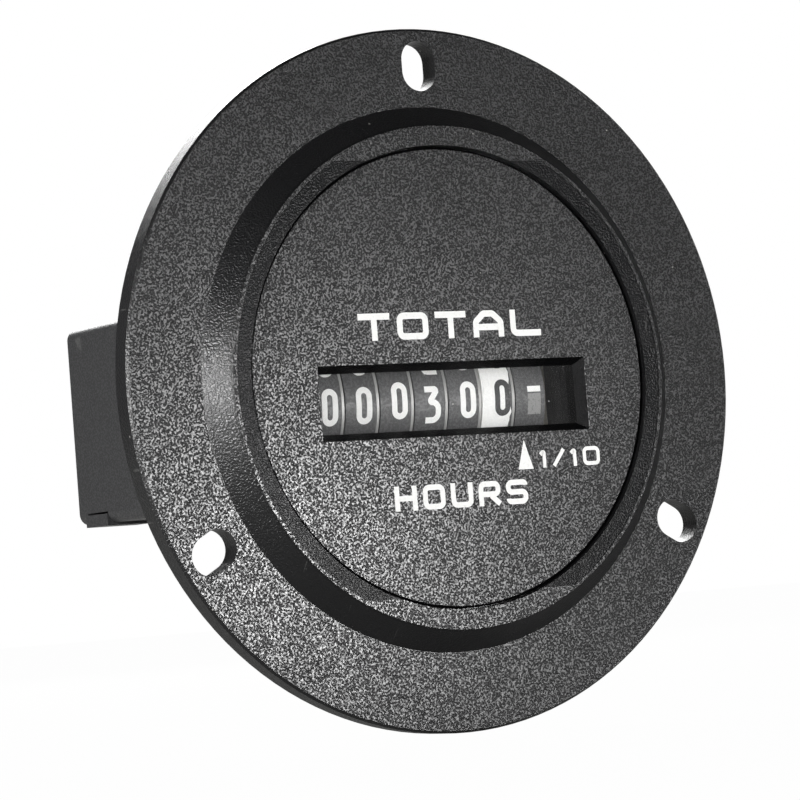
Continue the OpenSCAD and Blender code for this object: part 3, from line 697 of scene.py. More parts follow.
@dataclass(frozen=True)
class BoardLaminate(Finish):
    """Circuit board: green solder mask over straight copper tracks, bare laminate on its edges."""

    track: str = "#3f8357"
    woven: str = "#24523a"
    edge: str = "#b7a876"
    edge_z: Point = (-1.58, -0.02)
    tracks_per_m: float = 260.0
    track_gap: float = 0.05
    track_cell: Point = (1.7, 0.42)
    track_share: float = 0.7
    weave_noise: Point = (0.3, 1.0)
    weave_share: float = 0.2
    roughness: Point = (0.25, 0.45)
    depth_mm: float = 0.02

    def material(self) -> Material:
        """Make the board.

        Returns:
            The material.
        """
        material, graph, shader, place = self.start()
        height = graph.axes(place)[2]
        values = {
            "Vector": place,
            "Scale": self.tracks_per_m,
            "Mortar Size": self.track_gap,
            "Brick Width": self.track_cell[0],
            "Row Height": self.track_cell[1],
        }
        rows = graph.add("ShaderNodeTexBrick", values)
        track = graph.math("SUBTRACT", 1.0, rows.outputs["Fac"])
        weave = graph.noise(place, *self.weave_noise)
        face = graph.blend(graph.times(track, self.track_share), tint(self.colour), tint(self.track))
        face = graph.blend(graph.times(weave, self.weave_share), face, tint(self.woven))
        low = graph.above(height, self.edge_z[0] * MM)
        side = graph.times(low, graph.below(height, self.edge_z[1] * MM))
        graph.put(shader.inputs["Base Color"], graph.blend(side, face, tint(self.edge)))
        graph.put(shader.inputs["Roughness"], graph.between(weave, *self.roughness))
        self.bump(graph, shader, track, self.depth_mm)
        return material


@dataclass(frozen=True)
class BandedBody(Finish):
    """A round component that lies along Y, with painted bands from one Y to another."""

    bands: tuple[tuple[float, float, str], ...] = ()
    band_soft: float = 0.04
    mottled: str = "#1c1c1d"
    mottle_noise: Point = (0.7, 3.0)
    mottle_share: float = 0.3
    roughness: Point = (0.27, 0.47)
    depth_mm: float = 0.01

    def material(self) -> Material:
        """Make the banded coat.

        Returns:
            The material.
        """
        material, graph, shader, place = self.start()
        reach = graph.axes(place)[1]
        mottle = graph.noise(place, *self.mottle_noise)
        base = graph.blend(graph.times(mottle, self.mottle_share), tint(self.colour), tint(self.mottled))
        soft = self.band_soft
        for low, high, code in self.bands:
            after = graph.fade(reach, (low - soft) * MM, (low + soft) * MM)
            before = graph.fade(reach, (high + soft) * MM, (high - soft) * MM)
            base = graph.blend(graph.times(after, before), base, tint(code))
        graph.put(shader.inputs["Base Color"], base)
        graph.put(shader.inputs["Roughness"], graph.between(mottle, *self.roughness))
        self.bump(graph, shader, mottle, self.depth_mm)
        return material


@dataclass(frozen=True)
class Stroke:
    """One pen stroke of a letter, in the unit square of its centre lines.

    start and end tell how far each end reaches past its point, in half stroke widths.
    """

    points: tuple[Point, ...]
    start: float = 1.0
    end: float = 1.0
    closed: bool = False


BOX = ((0.0, 0.0), (1.0, 0.0), (1.0, 1.0), (0.0, 1.0))
THREE = ((0, 1), (0.98, 1), (0.14, 0.58), (0.66, 0.58), (1, 0.44), (1, 0.14), (0.66, 0), (0.04, 0))
GLYPHS: dict[str, tuple[Stroke, ...]] = {
    "A": (
        Stroke(((0, 0), (0, 0.6), (0.32, 1), (0.68, 1), (1, 0.6), (1, 0))),
        Stroke(((0, 0.34), (1, 0.34)), -1, -1),
    ),
    "H": (Stroke(((0, 0), (0, 1))), Stroke(((1, 0), (1, 1))), Stroke(((0, 0.5), (1, 0.5)), -1, -1)),
    "L": (Stroke(((0, 1), (0, 0), (1, 0))),),
    "O": (Stroke(BOX, closed=True),),
    "R": (
        Stroke(((0, 0), (0, 1), (1, 1), (1, 0.46), (0, 0.46)), 1, -1),
        Stroke(((0.5, 0.46), (1, 0)), -0.8, 0.7),
    ),
    "S": (Stroke(((1, 0.84), (1, 1), (0, 1), (0, 0.5), (1, 0.5), (1, 0), (0, 0), (0, 0.16)), 0, 0),),
    "T": (Stroke(((0, 1), (1, 1))), Stroke(((0.5, 1), (0.5, 0)), -1, 1)),
    "U": (Stroke(((0, 1), (0, 0), (1, 0), (1, 1))),),
    "/": (Stroke(((0, 0), (1, 1)), 0.4, 0.4),),
    "|": (Stroke(((0.5, 0), (0.5, 1)), 0, 0),),
    "0": (Stroke(BOX, closed=True),),
    "1": (Stroke(((0.1, 0.74), (0.6, 1), (0.6, 0)), 0, 1),),
    "2": (Stroke(((0, 0.8), (0, 1), (1, 1), (1, 0.55), (0, 0.16), (0, 0), (1, 0)), 0, 1),),
    "3": (Stroke(THREE, 1, 1),),
    "4": (
        Stroke(((0.72, 0), (0.72, 1), (0, 0.28), (0.72, 0.28)), 1, -1),
        Stroke(((0.72, 0.28), (1, 0.28)), -1, 1),
    ),
    "5": (Stroke(((1, 1), (0, 1), (0, 0.56), (1, 0.6), (1, 0), (0, 0), (0, 0.14)), 1, 0),),
    "6": (Stroke(((0.95, 0.86), (1, 1), (0, 1), (0, 0), (1, 0), (1, 0.55), (0, 0.55)), 0, -1),),
    "7": (Stroke(((0, 1), (1, 1), (0.4, 0.4), (0.4, 0)), 1, 1),),
    "8": (Stroke(BOX, closed=True), Stroke(((0, 0.53), (1, 0.53)), -1, -1)),
    "9": (Stroke(((0.05, 0.14), (0, 0), (1, 0), (1, 1), (0, 1), (0, 0.45), (1, 0.45)), 0, -1),),
}
NARROW = {"1": 0.62, "/": 0.75}


@dataclass(frozen=True)
class Pen:
    """A pen of even width that draws letters as thin solids."""

    width: float
    corner: float
    thickness: float = 0.03
    step: float = 0.3
    straight: float = math.radians(86)
    sharp: float = math.radians(40)
    sharp_corner: float = 0.3
    middle_share: float = 0.5
    end_share: float = 0.92
    arc_steps: int = 8
    least_mitre: float = 0.5
    least_step: float = 1e-6

    def _rounded(self, points: Sequence[Vector], closed: bool) -> list[Vector]:
        """Put arcs at the corners of a path.

        Args:
            points: Corners of the path.
            closed: Whether its end meets its start.

        Returns:
            The rounded path.
        """
        path: list[Vector] = []
        count = len(points)
        for i, point in enumerate(points):
            if not closed and i in (0, count - 1):
                path.append(point)
                continue
            back = points[i - 1] - point
            ahead = points[(i + 1) % count] - point
            half = back.angle(ahead) / 2
            if half > self.straight:
                path.append(point)
                continue
            share = self.middle_share if closed or 1 < i < count - 2 else self.end_share
            corner = self.corner if half > self.sharp else self.sharp_corner * self.width
            reach = min(corner / math.tan(half), share * back.length, share * ahead.length)
            radius = reach * math.tan(half)
            middle = (back.normalized() + ahead.normalized()).normalized()
            centre = point + middle * (radius / math.sin(half))
            first = point + back.normalized() * reach - centre
            turn = first.angle_signed(point + ahead.normalized() * reach - centre)
            for k in range(self.arc_steps + 1):
                path.append(centre + Matrix.Rotation(-turn * k / self.arc_steps, 2) @ first)
        return path

    def _spread(self, path: Sequence[Vector], closed: bool) -> list[Vector]:
        """Cut long steps of a path, so that it can follow a drum.

        Args:
            path: Points of the path.
            closed: Whether its end meets its start.

        Returns:
            The path in short steps.
        """
        ends = list(path) + ([path[0]] if closed else [])
        made: list[Vector] = []
        for here, there in zip(ends, ends[1:]):
            parts = max(1, math.ceil((there - here).length / self.step))
            if (there - here).length > self.least_step:
                made.extend(here.lerp(there, k / parts) for k in range(parts))
        return made if closed else made + [ends[-1]]

    def ribbon(self, stroke: Stroke, size: Point) -> list[tuple[Vector, Vector]]:
        """Draw one stroke.

        Args:
            stroke: The stroke.
            size: Outer width and height of the letter.

        Returns:
            Pairs of points on the two sides of the stroke.
        """
        half = self.width / 2
        span = (size[0] - self.width, size[1] - self.width)
        points = [Vector((half + p[0] * span[0], half + p[1] * span[1])) for p in stroke.points]
        if not stroke.closed:
            points[0] = points[0] + (points[0] - points[1]).normalized() * stroke.start * half
            points[-1] = points[-1] + (points[-1] - points[-2]).normalized() * stroke.end * half
        path = self._spread(self._rounded(points, stroke.closed), stroke.closed)
        pairs: list[tuple[Vector, Vector]] = []
        count = len(path)
        for i, point in enumerate(path):
            before = path[i - 1] if stroke.closed or i else None
            after = path[(i + 1) % count] if stroke.closed or i < count - 1 else None
            into = (point - before).normalized() if before is not None else None
            out = (after - point).normalized() if after is not None else None
            way = ((into or out) + (out or into)).normalized()
            side = Vector((-way.y, way.x)) * half / max(self.least_mitre, way.dot(out or into))
            pairs.append((point + side, point - side))
        return pairs


def add_piece(name: str, mesh: bpy.types.Mesh, body: str, slot: str) -> Piece:
    """Make an object of a mesh and let it ride on a body.

    Args:
        name: Name of the piece.
        mesh: Its mesh.
        body: Name of the CAD body.
        slot: Material slot of the record; not used.

    Returns:
        The new object.
    """
    made = bpy.data.objects.new(name, mesh)
    bpy.context.scene.collection.objects.link(made)
    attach(made, body)
    LOG.info("added %s: %d faces", name, len(mesh.polygons))
    return made


class PrintSheet:
    """Collects printed shapes of one piece in one mesh."""

    merge_m: float = 1e-7
    lap: float = 0.15

    def __init__(self, name: str) -> None:
        """Start an empty sheet.

        Args:
            name: Name of the piece.
        """
        self.name = name
        self.points: list[Vector] = []
        self.faces: list[tuple[int, ...]] = []

    def loft(self, rows: Sequence[Sequence[Vector]], closed: bool) -> None:
        """Add a solid from a row of four-point sections.

        Args:
            rows: The sections.
            closed: Whether the last meets the first; otherwise both ends are capped.
        """
        start = len(self.points)
        for row in rows:
            self.points.extend(row)
        count = len(rows)
        for i in range(count if closed else count - 1):
            a, b = start + 4 * i, start + 4 * ((i + 1) % count)
            self.faces.extend((a + k, a + (k + 1) % 4, b + (k + 1) % 4, b + k) for k in range(4))
        if not closed:
            last = start + 4 * (count - 1)
            self.faces.append((start + 3, start + 2, start + 1, start))
            self.faces.append((last, last + 1, last + 2, last + 3))

    def letter(self, sign: str, pen: Pen, size: Point, place: Placer) -> None:
        """Print one sign, each stroke a little thicker than the last so that no two share a plane.

        Args:
            sign: Key of the glyph table.
            pen: The pen.
            size: Outer width and height in millimetres.
            place: Puts a point of the sign and a height into the frame.
        """
        for k, stroke in enumerate(GLYPHS[sign]):
            low, high = 0.0, pen.thickness * (1 + self.lap * k)
            rows = [
                [place(*left, low), place(*right, low), place(*right, high), place(*left, high)]
                for left, right in pen.ribbon(stroke, size)
            ]
            self.loft(rows, stroke.closed)

    def outline(self, corners: Sequence[Point], thickness: float, place: Placer) -> None:
        """Print a filled convex shape.

        Args:
            corners: Its corners, in order.
            thickness: Thickness of the ink.
            place: Puts a corner and a height into the frame.
        """
        start = len(self.points)
        count = len(corners)
        for height in (0.0, thickness):
            self.points.extend(place(u, v, height) for u, v in corners)
        self.faces.append(tuple(start + k for k in reversed(range(count))))
        self.faces.append(tuple(start + count + k for k in range(count)))
        for k in range(count):
            n = (k + 1) % count
            self.faces.append((start + k, start + n, start + count + n, start + count + k))

    def piece(self, material: Material, body: str, slot: str) -> Piece:
        """Make the mesh object and let it ride on a body.

        Args:
            material: Its ink.
            body: Name of the CAD body.
            slot: Material slot of the record.

        Returns:
            The new object.
        """
        mesh = bpy.data.meshes.new(self.name)
        mesh.from_pydata([tuple(p) for p in self.points], [], self.faces)
        shaped = bmesh.new()
        shaped.from_mesh(mesh)
        bmesh.ops.remove_doubles(shaped, verts=shaped.verts, dist=self.merge_m)
        bmesh.ops.recalc_face_normals(shaped, faces=shaped.faces)
        shaped.to_mesh(mesh)
        shaped.free()
        mesh.materials.append(material)
        return add_piece(self.name, mesh, body, slot)


PLACE_INPUTS: dict[str, tuple[str, Any]] = {
    "Centre": ("Vector", (0.0, 0.0, 0.0)),
    "Turn": ("Rotation", None),
    "Finish": ("Material", None),
}


class NodePattern:
    """A geometry tree with named inputs for a shape that repeats or follows a path."""

    def __init__(self, name: str, inputs: Mapping[str, tuple[str, Any]]) -> None:
        """Start the tree.

        Args:
            name: Name of the tree.
            inputs: Socket type and default of each input besides those of its place and finish.
        """
        self.tree = bpy.data.node_groups.new(name, "GeometryNodeTree")
        self.tree.interface.new_socket("Shape", in_out="OUTPUT", socket_type="NodeSocketGeometry")
        self.sockets: dict[str, str] = {}
        for key, (kind, value) in {**PLACE_INPUTS, **inputs}.items():
            made = self.tree.interface.new_socket(key, in_out="INPUT", socket_type="NodeSocket" + kind)
            if value is not None:
                made.default_value = value
            self.sockets[key] = made.identifier
        self.graph = Graph(self.tree)
        self.given = self.graph.add("NodeGroupInput").outputs
        self.out = self.graph.add("NodeGroupOutput")

    def close(self, shape: Socket) -> None:
        """Put the shape in its place, make it real, give it its material and end the tree.

        Args:
            shape: The shape so far.
        """
        moves = {"Geometry": shape, "Translation": self.given["Centre"], "Rotation": self.given["Turn"]}
        moved = self.graph.add("GeometryNodeTransform", moves)
        real = self.graph.add("GeometryNodeRealizeInstances", {0: moved.outputs[0]})
        coat = {"Geometry": real.outputs[0], "Material": self.given["Finish"]}
        dressed = self.graph.add("GeometryNodeSetMaterial", coat)
        self.graph.put(self.out.inputs[0], dressed.outputs[0])

    def make(self, name: str, body: str, slot: str, values: Mapping[str, Any]) -> Piece:
        """Make a plain mesh from the tree.

        Args:
            name: Name of the piece.
            body: CAD body that it rides on.
            slot: Material slot of the record.
            values: Values of the tree's inputs.

        Returns:
            The new piece.
        """
        carrier = bpy.data.objects.new(name, bpy.data.meshes.new(name))
        bpy.context.scene.collection.objects.link(carrier)
        modifier = carrier.modifiers.new(name, "NODES")
        modifier.node_group = self.tree
        for key, value in values.items():
            modifier[self.sockets[key]] = value
        bpy.context.view_layer.update()
        shown = carrier.evaluated_get(bpy.context.evaluated_depsgraph_get())
        mesh = bpy.data.meshes.new_from_object(shown)
        bpy.data.objects.remove(carrier)
        mesh.name = name
        return add_piece(name, mesh, body, slot)


def give_finish(material: Material, *nodes: str) -> None:
    """Give CAD nodes a finish.

    Args:
        material: The finish.
        nodes: Names of the nodes.
    """
    for name in nodes:
        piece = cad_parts[name]
        if not piece.material_slots:
            piece.data.materials.append(material)
        for slot in piece.material_slots:
            slot.material = material
        LOG.info("dressed %s in %s", name, material.name)


@dataclass
class Bezel:
    """The round mounting bezel."""

    plastic: BezelPlastic = BezelPlastic(
        "bezel_grain", "#171718", specular=0.66, satin_mm=0.2, satin_share=0.22
    )

    def dress(self) -> None:
        """Give the bezel its part-grained plastic."""
        give_finish(self.plastic.material(), "mounting_bezel")


@dataclass(frozen=True)
class Legend:
    """A printed word that fills a box: left, low, right and high edges on the face."""

    piece: str
    word: str
    box: Box
    pen: Pen
    gap: float


@dataclass
class FacePlate:
    """The face plate with its printed legends, and the lens behind its window."""

    front_y: float = -4.3
    plastic: FacePlastic = FacePlastic("face_grain", "#171718")
    ink: PrintInk = PrintInk("white_print", "#fbfbf9")
    lens: ClearPlastic = ClearPlastic("clear_lens", "#ebebeb")
    heading: Legend = Legend("heading_print", "TOTAL", (-10.75, 3.9, 11.15, 6.65), Pen(0.66, 0.5), 0.85)
    unit: Legend = Legend("unit_print", "HOURS", (-8.05, -13.3, 7.95, -10.8), Pen(0.56, 0.45), 0.7)
    tenths: Legend = Legend("tenths_print", "1/10", (9.55, -9.75, 17.25, -7.8), Pen(0.4, 0.4), 0.45)
    pointer: tuple[Point, Point, Point] = ((7.94, -6.83), (7.05, -9.8), (8.89, -9.8))

    def _on_face(self, left: float, low: float) -> Placer:
        """Return a placer for print that starts at a point of the face."""
        return lambda u, v, h: Vector(((left + u), self.front_y - h, (low + v))) * MM

    def _word(self, legend: Legend) -> PrintSheet:
        """Print a word.

        Args:
            legend: The word and its box.

        Returns:
            The printed sheet.
        """
        sheet = PrintSheet(legend.piece)
        left, low, right, high = legend.box
        shares = [NARROW.get(sign, 1.0) for sign in legend.word]
        unit = (right - left - legend.gap * (len(shares) - 1)) / sum(shares)
        for sign, part in zip(legend.word, shares):
            sheet.letter(sign, legend.pen, (part * unit, high - low), self._on_face(left, low))
            left += part * unit + legend.gap
        return sheet

    def build(self) -> None:
        """Print the legends and the pointer."""
        ink = self.ink.material()
        for legend in (self.heading, self.unit, self.tenths):
            sheet = self._word(legend)
            if legend is self.tenths:
                sheet.outline(self.pointer, legend.pen.thickness, self._on_face(0.0, 0.0))
            sheet.piece(ink, HOUSING, "face_plastic")

    def dress(self) -> None:
        """Give the face and the lens their finishes."""
        give_finish(self.plastic.material(), "face_plate")
        give_finish(self.lens.material(), "window_lens")


@dataclass
class Wheel:
    """One number wheel, the digit that it shows, and how far its print is off the middle."""

    node: str
    centre_x: float
    reading: int
    print_x: float
    print_drop: float


class WheelInk(Enum):
    """Record slot of a number wheel, by its ink."""

    LIGHT = "wheel_dark"
    DARK = "wheel_light"


@dataclass
class Counter:
    """The counter: number wheels, run wheel, shaft, carriers, pinions and frame."""

    axis: Point = (6.35, -1.78)
    radius: float = 8.0
    print_sink: float = 0.005
    shaft_rise: float = 0.45
    digits: int = 10
    digit_size: Point = (1.86, 3.8)
    pen: Pen = Pen(0.62, 0.65, 0.025)
    wheels: tuple[Wheel, ...] = (
        Wheel("wheel_ten_thousands", -13.59, 0, 0.46, 0.2),
        Wheel("wheel_thousands", -9.49, 0, 0.36, 0.15),
        Wheel("wheel_hundreds", -5.39, 0, 0.46, -0.19),
        Wheel("wheel_tens", -1.29, 3, 0.34, 0.36),
        Wheel("wheel_units", 2.81, 0, 0.52, 0.01),
        Wheel("wheel_tenths", 6.91, 0, 0.64, -0.05),
    )
    links: tuple[str, ...] = ("thousands", "hundreds", "tens", "units", "tenths", "run")
    run_node: str = "run_wheel"
    run_x: float = 11.48
    run_marks: int = 5
    run_mark: Triple = (1.6, 0.6, 0.05)
    run_rise: float = 0.38
    run_patch: Triple = (1.6, 2.2, 0.45)
    run_patch_t: float = 0.012
    dark: WheelPlastic = WheelPlastic(
        "wheel_grey", "#454546", peak="#555556", grain_mm=0.25, depth_mm=0.006, dust=0.2
    )
    light: WheelPlastic = WheelPlastic(
        "wheel_white",
        "#f7f7f5",
        peak="#fcfcfa",
        grain_mm=0.25,
        depth_mm=0.005,
        dust=0.05,
        border_x=8.5,
        uneven=0.7,
        beyond="#454546",
    )
    white_ink: PrintInk = PrintInk("wheel_digits_white", "#fefefc", thin="#f6f6f4")
    black_ink: PrintInk = PrintInk("wheel_digits_black", "#303031", thin="#5a5a5a")
    grey_ink: PrintInk = PrintInk("run_wheel_grey", "#8b8b8a", thin="#626262")
    carrier: SheetMetal = SheetMetal(
        "carrier_steel", "#a6a6a4", shade="#8a8a88", roughness=0.42, metallic=0.3
    )
    shaft: SheetMetal = SheetMetal("bright_shaft", "#c8cacc", shade="#8b8d8f", along=(0.1, 1.0, 1.0))
    screws: SheetMetal = SheetMetal("plated_screws", "#bcbcb8", shade="#81817c", roughness=0.34)
    frame_plastic: MouldedPlastic = MouldedPlastic(
        "frame_cream", "#dcd8ca", peak="#e9e6da", roughness=0.45, grain_mm=0.3, depth_mm=0.006, dust=0.06
    )
    pinion_plastic: MouldedPlastic = MouldedPlastic(
        "pinion_natural", "#e6e3d8", peak="#f1efe7", roughness=0.36, depth_mm=0.003, dust=0.03
    )

    def _on_drum(self, left: float, middle: float, angle: float) -> Placer:
        """Return a placer for print on a wheel's rim.

        Args:
            left: Place of the print's left edge along the shaft.
            middle: Half the height of the print.
            angle: Angle of the print's middle below the front of the wheel, in radians.

        Returns:
            The placer.
        """

        def place(u: float, v: float, h: float) -> Vector:
            """Wrap one point of the print and its height on the rim."""
            down = angle - (v - middle) / self.radius
            reach = self.radius - self.print_sink + h
            y = self.axis[0] - reach * math.cos(down)
            z = self.axis[1] - reach * math.sin(down)
            return Vector((left + u, y, z)) * MM

        return place

    def _number(self, wheel: Wheel, ink: Material, slot: str) -> None:
        """Print the ten digits on one wheel.

        Args:
            wheel: The wheel.
            ink: Its ink.
            slot: Its material slot of the record.
        """
        sheet = PrintSheet("digits_" + wheel.node.removeprefix("wheel_"))
        pitch = 2 * math.pi / self.digits
        wide, tall = self.digit_size
        left = wheel.centre_x + wheel.print_x - wide / 2
        drop = math.asin((wheel.print_drop + self.shaft_rise) / self.radius)
        for digit in range(self.digits):
            place = self._on_drum(left, tall / 2, (digit - wheel.reading) * pitch + drop)
            sheet.letter(str(digit), self.pen, self.digit_size, place)
        sheet.piece(ink, wheel.node, slot)

    def _mark_pattern(self) -> NodePattern:
        """Make the tree that sets flat marks round a wheel.

        Returns:
            The tree.
        """
        sizes = {"Count": ("Int", 1), "Radius": ("Float", 1.0), "Size": ("Vector", (1.0, 1.0, 1.0))}
        pattern = NodePattern("marks_round_wheel", sizes)
        graph, given = pattern.graph, pattern.given
        ring = graph.add("GeometryNodeMeshCircle", {"Vertices": given["Count"], "Radius": given["Radius"]})
        mark = graph.add("GeometryNodeMeshCube", {"Size": given["Size"]})
        normal = graph.add("GeometryNodeInputPosition").outputs[0]
        turned = graph.add("FunctionNodeAxesToRotation", {0: normal, 1: (0.0, 0.0, 1.0)})
        turned.primary_axis = "Z"
        turned.secondary_axis = "X"
        placed = {"Points": ring.outputs[0], "Instance": mark.outputs[0], "Rotation": turned.outputs[0]}
        pattern.close(graph.add("GeometryNodeInstanceOnPoints", placed).outputs[0])
        return pattern

    def _marks(self, lead: float, ink: Material) -> None:
        """Set the run wheel's marks.

        Args:
            lead: Angle of the first mark above the front of the wheel, in radians.
            ink: Their ink.
        """
        turn = Matrix.Rotation(-math.pi / 2 - lead, 3, "X") @ Matrix.Rotation(math.pi / 2, 3, "Y")
        values = {
            "Centre": (self.run_x * MM, self.axis[0] * MM, self.axis[1] * MM),
            "Turn": turn.to_euler(),
            "Finish": ink,
            "Count": self.run_marks,
            "Radius": self.radius * MM,
            "Size": tuple(s * MM for s in self.run_mark),
        }
        self._mark_pattern().make("run_marks", self.run_node, WheelInk.LIGHT.value, values)

    def _patches(self, lead: float) -> None:
        """Print a grey patch under each mark of the run wheel.

        Args:
            lead: Angle of the first mark above the front of the wheel, in radians.
        """
        sheet = PrintSheet("run_patches")
        wide, tall, drop = self.run_patch
        pen = Pen(wide, 0.0, self.run_patch_t)
        for k in range(self.run_marks):
            angle = k * 2 * math.pi / self.run_marks - lead + (drop + tall / 2) / self.radius
            place = self._on_drum(self.run_x - wide / 2, (tall + wide) / 2, angle)
            sheet.letter("|", pen, (wide, tall + wide), place)
        sheet.piece(self.grey_ink.material(), self.run_node, WheelInk.LIGHT.value)

    def build(self) -> None:
        """Print the wheels and set the run wheel's marks."""
        inks = {WheelInk.LIGHT: self.white_ink.material(), WheelInk.DARK: self.black_ink.material()}
        for wheel in self.wheels:
            kind = WheelInk.DARK if wheel is self.wheels[-1] else WheelInk.LIGHT
            self._number(wheel, inks[kind], kind.value)
        lead = math.asin(self.run_rise / self.radius)
        self._marks(lead, inks[WheelInk.LIGHT])
        self._patches(lead)

    def dress(self) -> None:
        """Give the counter's solids their finishes."""
        dark_wheels = [wheel.node for wheel in self.wheels[:-1]]
        give_finish(self.dark.material(), *dark_wheels, self.run_node)
        give_finish(self.light.material(), self.wheels[-1].node)
        give_finish(self.carrier.material(), *("carrier_" + name for name in self.links))
        give_finish(self.pinion_plastic.material(), *("pinion_" + name for name in self.links))
        give_finish(self.frame_plastic.material(), "counter_frame")
        give_finish(self.shaft.material(), "wheel_shaft")
        give_finish(self.screws.material(), "frame_screws", "core_screws")


@dataclass
class Case:
    """The case tube, the rear cover and the spade terminals."""

    plastic: MouldedPlastic = MouldedPlastic(
        "case_satin", "#3b3b3c", peak="#4a4a4b", roughness=0.34, depth_mm=0.004, dust=0.1
    )
    brass: SheetMetal = SheetMetal(
        "tinned_brass", "#d8cc9c", shade="#a89a68", roughness=0.38, along=(1.0, 0.08, 1.0), metallic=0.5
    )

    def dress(self) -> None:
        """Give the case, the cover and the terminals their finishes."""
        give_finish(self.plastic.material(), "case_body", "rear_cover")
        give_finish(self.brass.material(), "terminal_positive", "terminal_negative")


@dataclass
class GearTrain:
    """The reduction gears and their bridge."""

    gears: MouldedPlastic = MouldedPlastic(
        "gear_natural", "#d9d3bd", peak="#e8e3d1", roughness=0.36, depth_mm=0.003, dust=0.03
    )
    bridge: MouldedPlastic = MouldedPlastic(
        "bridge_cream", "#dcd8ca", peak="#e9e6da", roughness=0.45, grain_mm=0.3, depth_mm=0.006, dust=0.05
    )

    def dress(self) -> None:
        """Give the train its finishes."""
        give_finish(self.gears.material(), "second_gear", "first_gear", "rotor_pinion")
        give_finish(self.bridge.material(), "gear_bridge")


@dataclass
class Motor:
    """The stepping motor with its wound coil."""

    coil_centre: Triple = (10.66, 26.686, 4.9)
    coil_radius: float = 2.7
    coil_length: float = 6.2
    turns: int = 30
    steps_per_turn: int = 40
    wire_radius: float = 0.1
    wire_sides: int = 8
    magnet: SheetMetal = SheetMetal(
        "sintered_magnet", "#4a4744", shade="#2f2d2b", roughness=0.5, metallic=0.5
    )
    iron: SheetMetal = SheetMetal(
        "motor_iron", "#9a9c9f", shade="#6c6e70", roughness=0.36, along=(1.0, 0.15, 1.0)
    )
    bobbin: MouldedPlastic = MouldedPlastic(
        "bobbin_white", "#d8d5c8", peak="#e4e2d8", grain_mm=0.25, depth_mm=0.004, dust=0.03
    )
    copper: SheetMetal = SheetMetal("enamelled_copper", "#b4592c", shade="#7c3717", roughness=0.25)
    leads: SheetMetal = SheetMetal("copper_leads", "#b4592c", shade="#7c3717")

    def _turn_pattern(self) -> NodePattern:
        """Make the tree that winds wire along a straight coil.

        Returns:
            The tree.
        """
        names = ("Turns", "Radius", "Length", "Wire")
        pattern = NodePattern("wire_turns", {name: ("Float", 1.0) for name in names})
        graph, given = pattern.graph, pattern.given
        path = {
            "Resolution": self.steps_per_turn,
            "Rotations": given["Turns"],
            "Start Radius": given["Radius"],
            "End Radius": given["Radius"],
            "Height": given["Length"],
        }
        spiral = graph.add("GeometryNodeCurveSpiral", path)
        section = {"Resolution": self.wire_sides, "Radius": given["Wire"]}
        wire = graph.add("GeometryNodeCurvePrimitiveCircle", section)
        ends = {0: spiral.outputs[0], 1: wire.outputs[0], "Fill Caps": True}
        tube = graph.add("GeometryNodeCurveToMesh", ends)
        pattern.close(graph.add("GeometryNodeSetShadeSmooth", {0: tube.outputs[0]}).outputs[0])
        return pattern

    def build(self) -> None:
        """Wind the outer layer of the coil."""
        x, y, z = self.coil_centre
        values = {
            "Centre": (x * MM, (y + self.coil_length / 2) * MM, z * MM),
            "Turn": Matrix.Rotation(math.radians(90), 3, "X").to_euler(),
            "Finish": self.copper.material(),
            "Turns": float(self.turns),
            "Radius": self.coil_radius * MM,
            "Length": self.coil_length * MM,
            "Wire": self.wire_radius * MM,
        }
        self._turn_pattern().make("coil_turns", HOUSING, "copper", values)

    def dress(self) -> None:
        """Give the motor its finishes."""
        give_finish(self.magnet.material(), "rotor_magnet")
        give_finish(self.iron.material(), "stator", "coil_core")
        give_finish(self.bobbin.material(), "coil_bobbin")
        give_finish(self.leads.material(), "coil_winding", "coil_leads")


@dataclass
class Electronics:
    """The circuit board and its components."""

    board: BoardLaminate = BoardLaminate("board_green", "#2c6141")
    chip: MouldedPlastic = MouldedPlastic(
        "chip_black", "#262627", peak="#3a3a3b", roughness=0.5, grain_mm=0.12, depth_mm=0.006, dust=0.05
    )
    crystal: SheetMetal = SheetMetal(
        "crystal_can", "#c9ccd0", shade="#979a9d", roughness=0.24, along=(1.0, 0.1, 1.0)
    )
    capacitor: BandedBody = BandedBody(
        "capacitor_sleeve", "#31415f", bands=((19.3, 20.0, "#a7adb8"), (29.7, 30.5, "#a7adb8"))
    )
    diode: BandedBody = BandedBody("diode_body", "#2b2b2c", bands=((32.6, 33.3, "#b9b9b6"),))
    resistor: BandedBody = BandedBody(
        "resistor_body",
        "#c9a77a",
        bands=(
            (28.9, 29.4, "#7a4a22"),
            (30.1, 30.6, "#222222"),
            (31.3, 31.8, "#a03a28"),
            (32.6, 33.0, "#b59a4a"),
        ),
    )

    def dress(self) -> None:
        """Give the board and its components their finishes."""
        give_finish(self.board.material(), "circuit_board")
        give_finish(self.chip.material(), "driver_chip")
        give_finish(self.crystal.material(), "quartz_crystal")
        give_finish(self.capacitor.material(), "filter_capacitor")
        give_finish(self.diode.material(), "rectifier_diode")
        give_finish(self.resistor.material(), "dropping_resistor")


@dataclass(frozen=True)
class Lamp:
    """A soft square lamp aimed at a point, in metres and watts."""

    name: str
    at: Triple
    aim: Triple
    size: float
    power: float

    def build(self) -> None:
        """Add the lamp to the scene."""
        data = bpy.data.lights.new(self.name, "AREA")
        data.shape = "SQUARE"
        data.size = self.size
        data.energy = self.power
        made = bpy.data.objects.new(self.name, data)
        made.location = self.at
        made.visible_camera = False
        made.rotation_euler = (Vector(self.at) - Vector(self.aim)).to_track_quat("Z", "Y").to_euler()
        bpy.context.scene.collection.objects.link(made)
        LOG.info("lit %s", self.name)


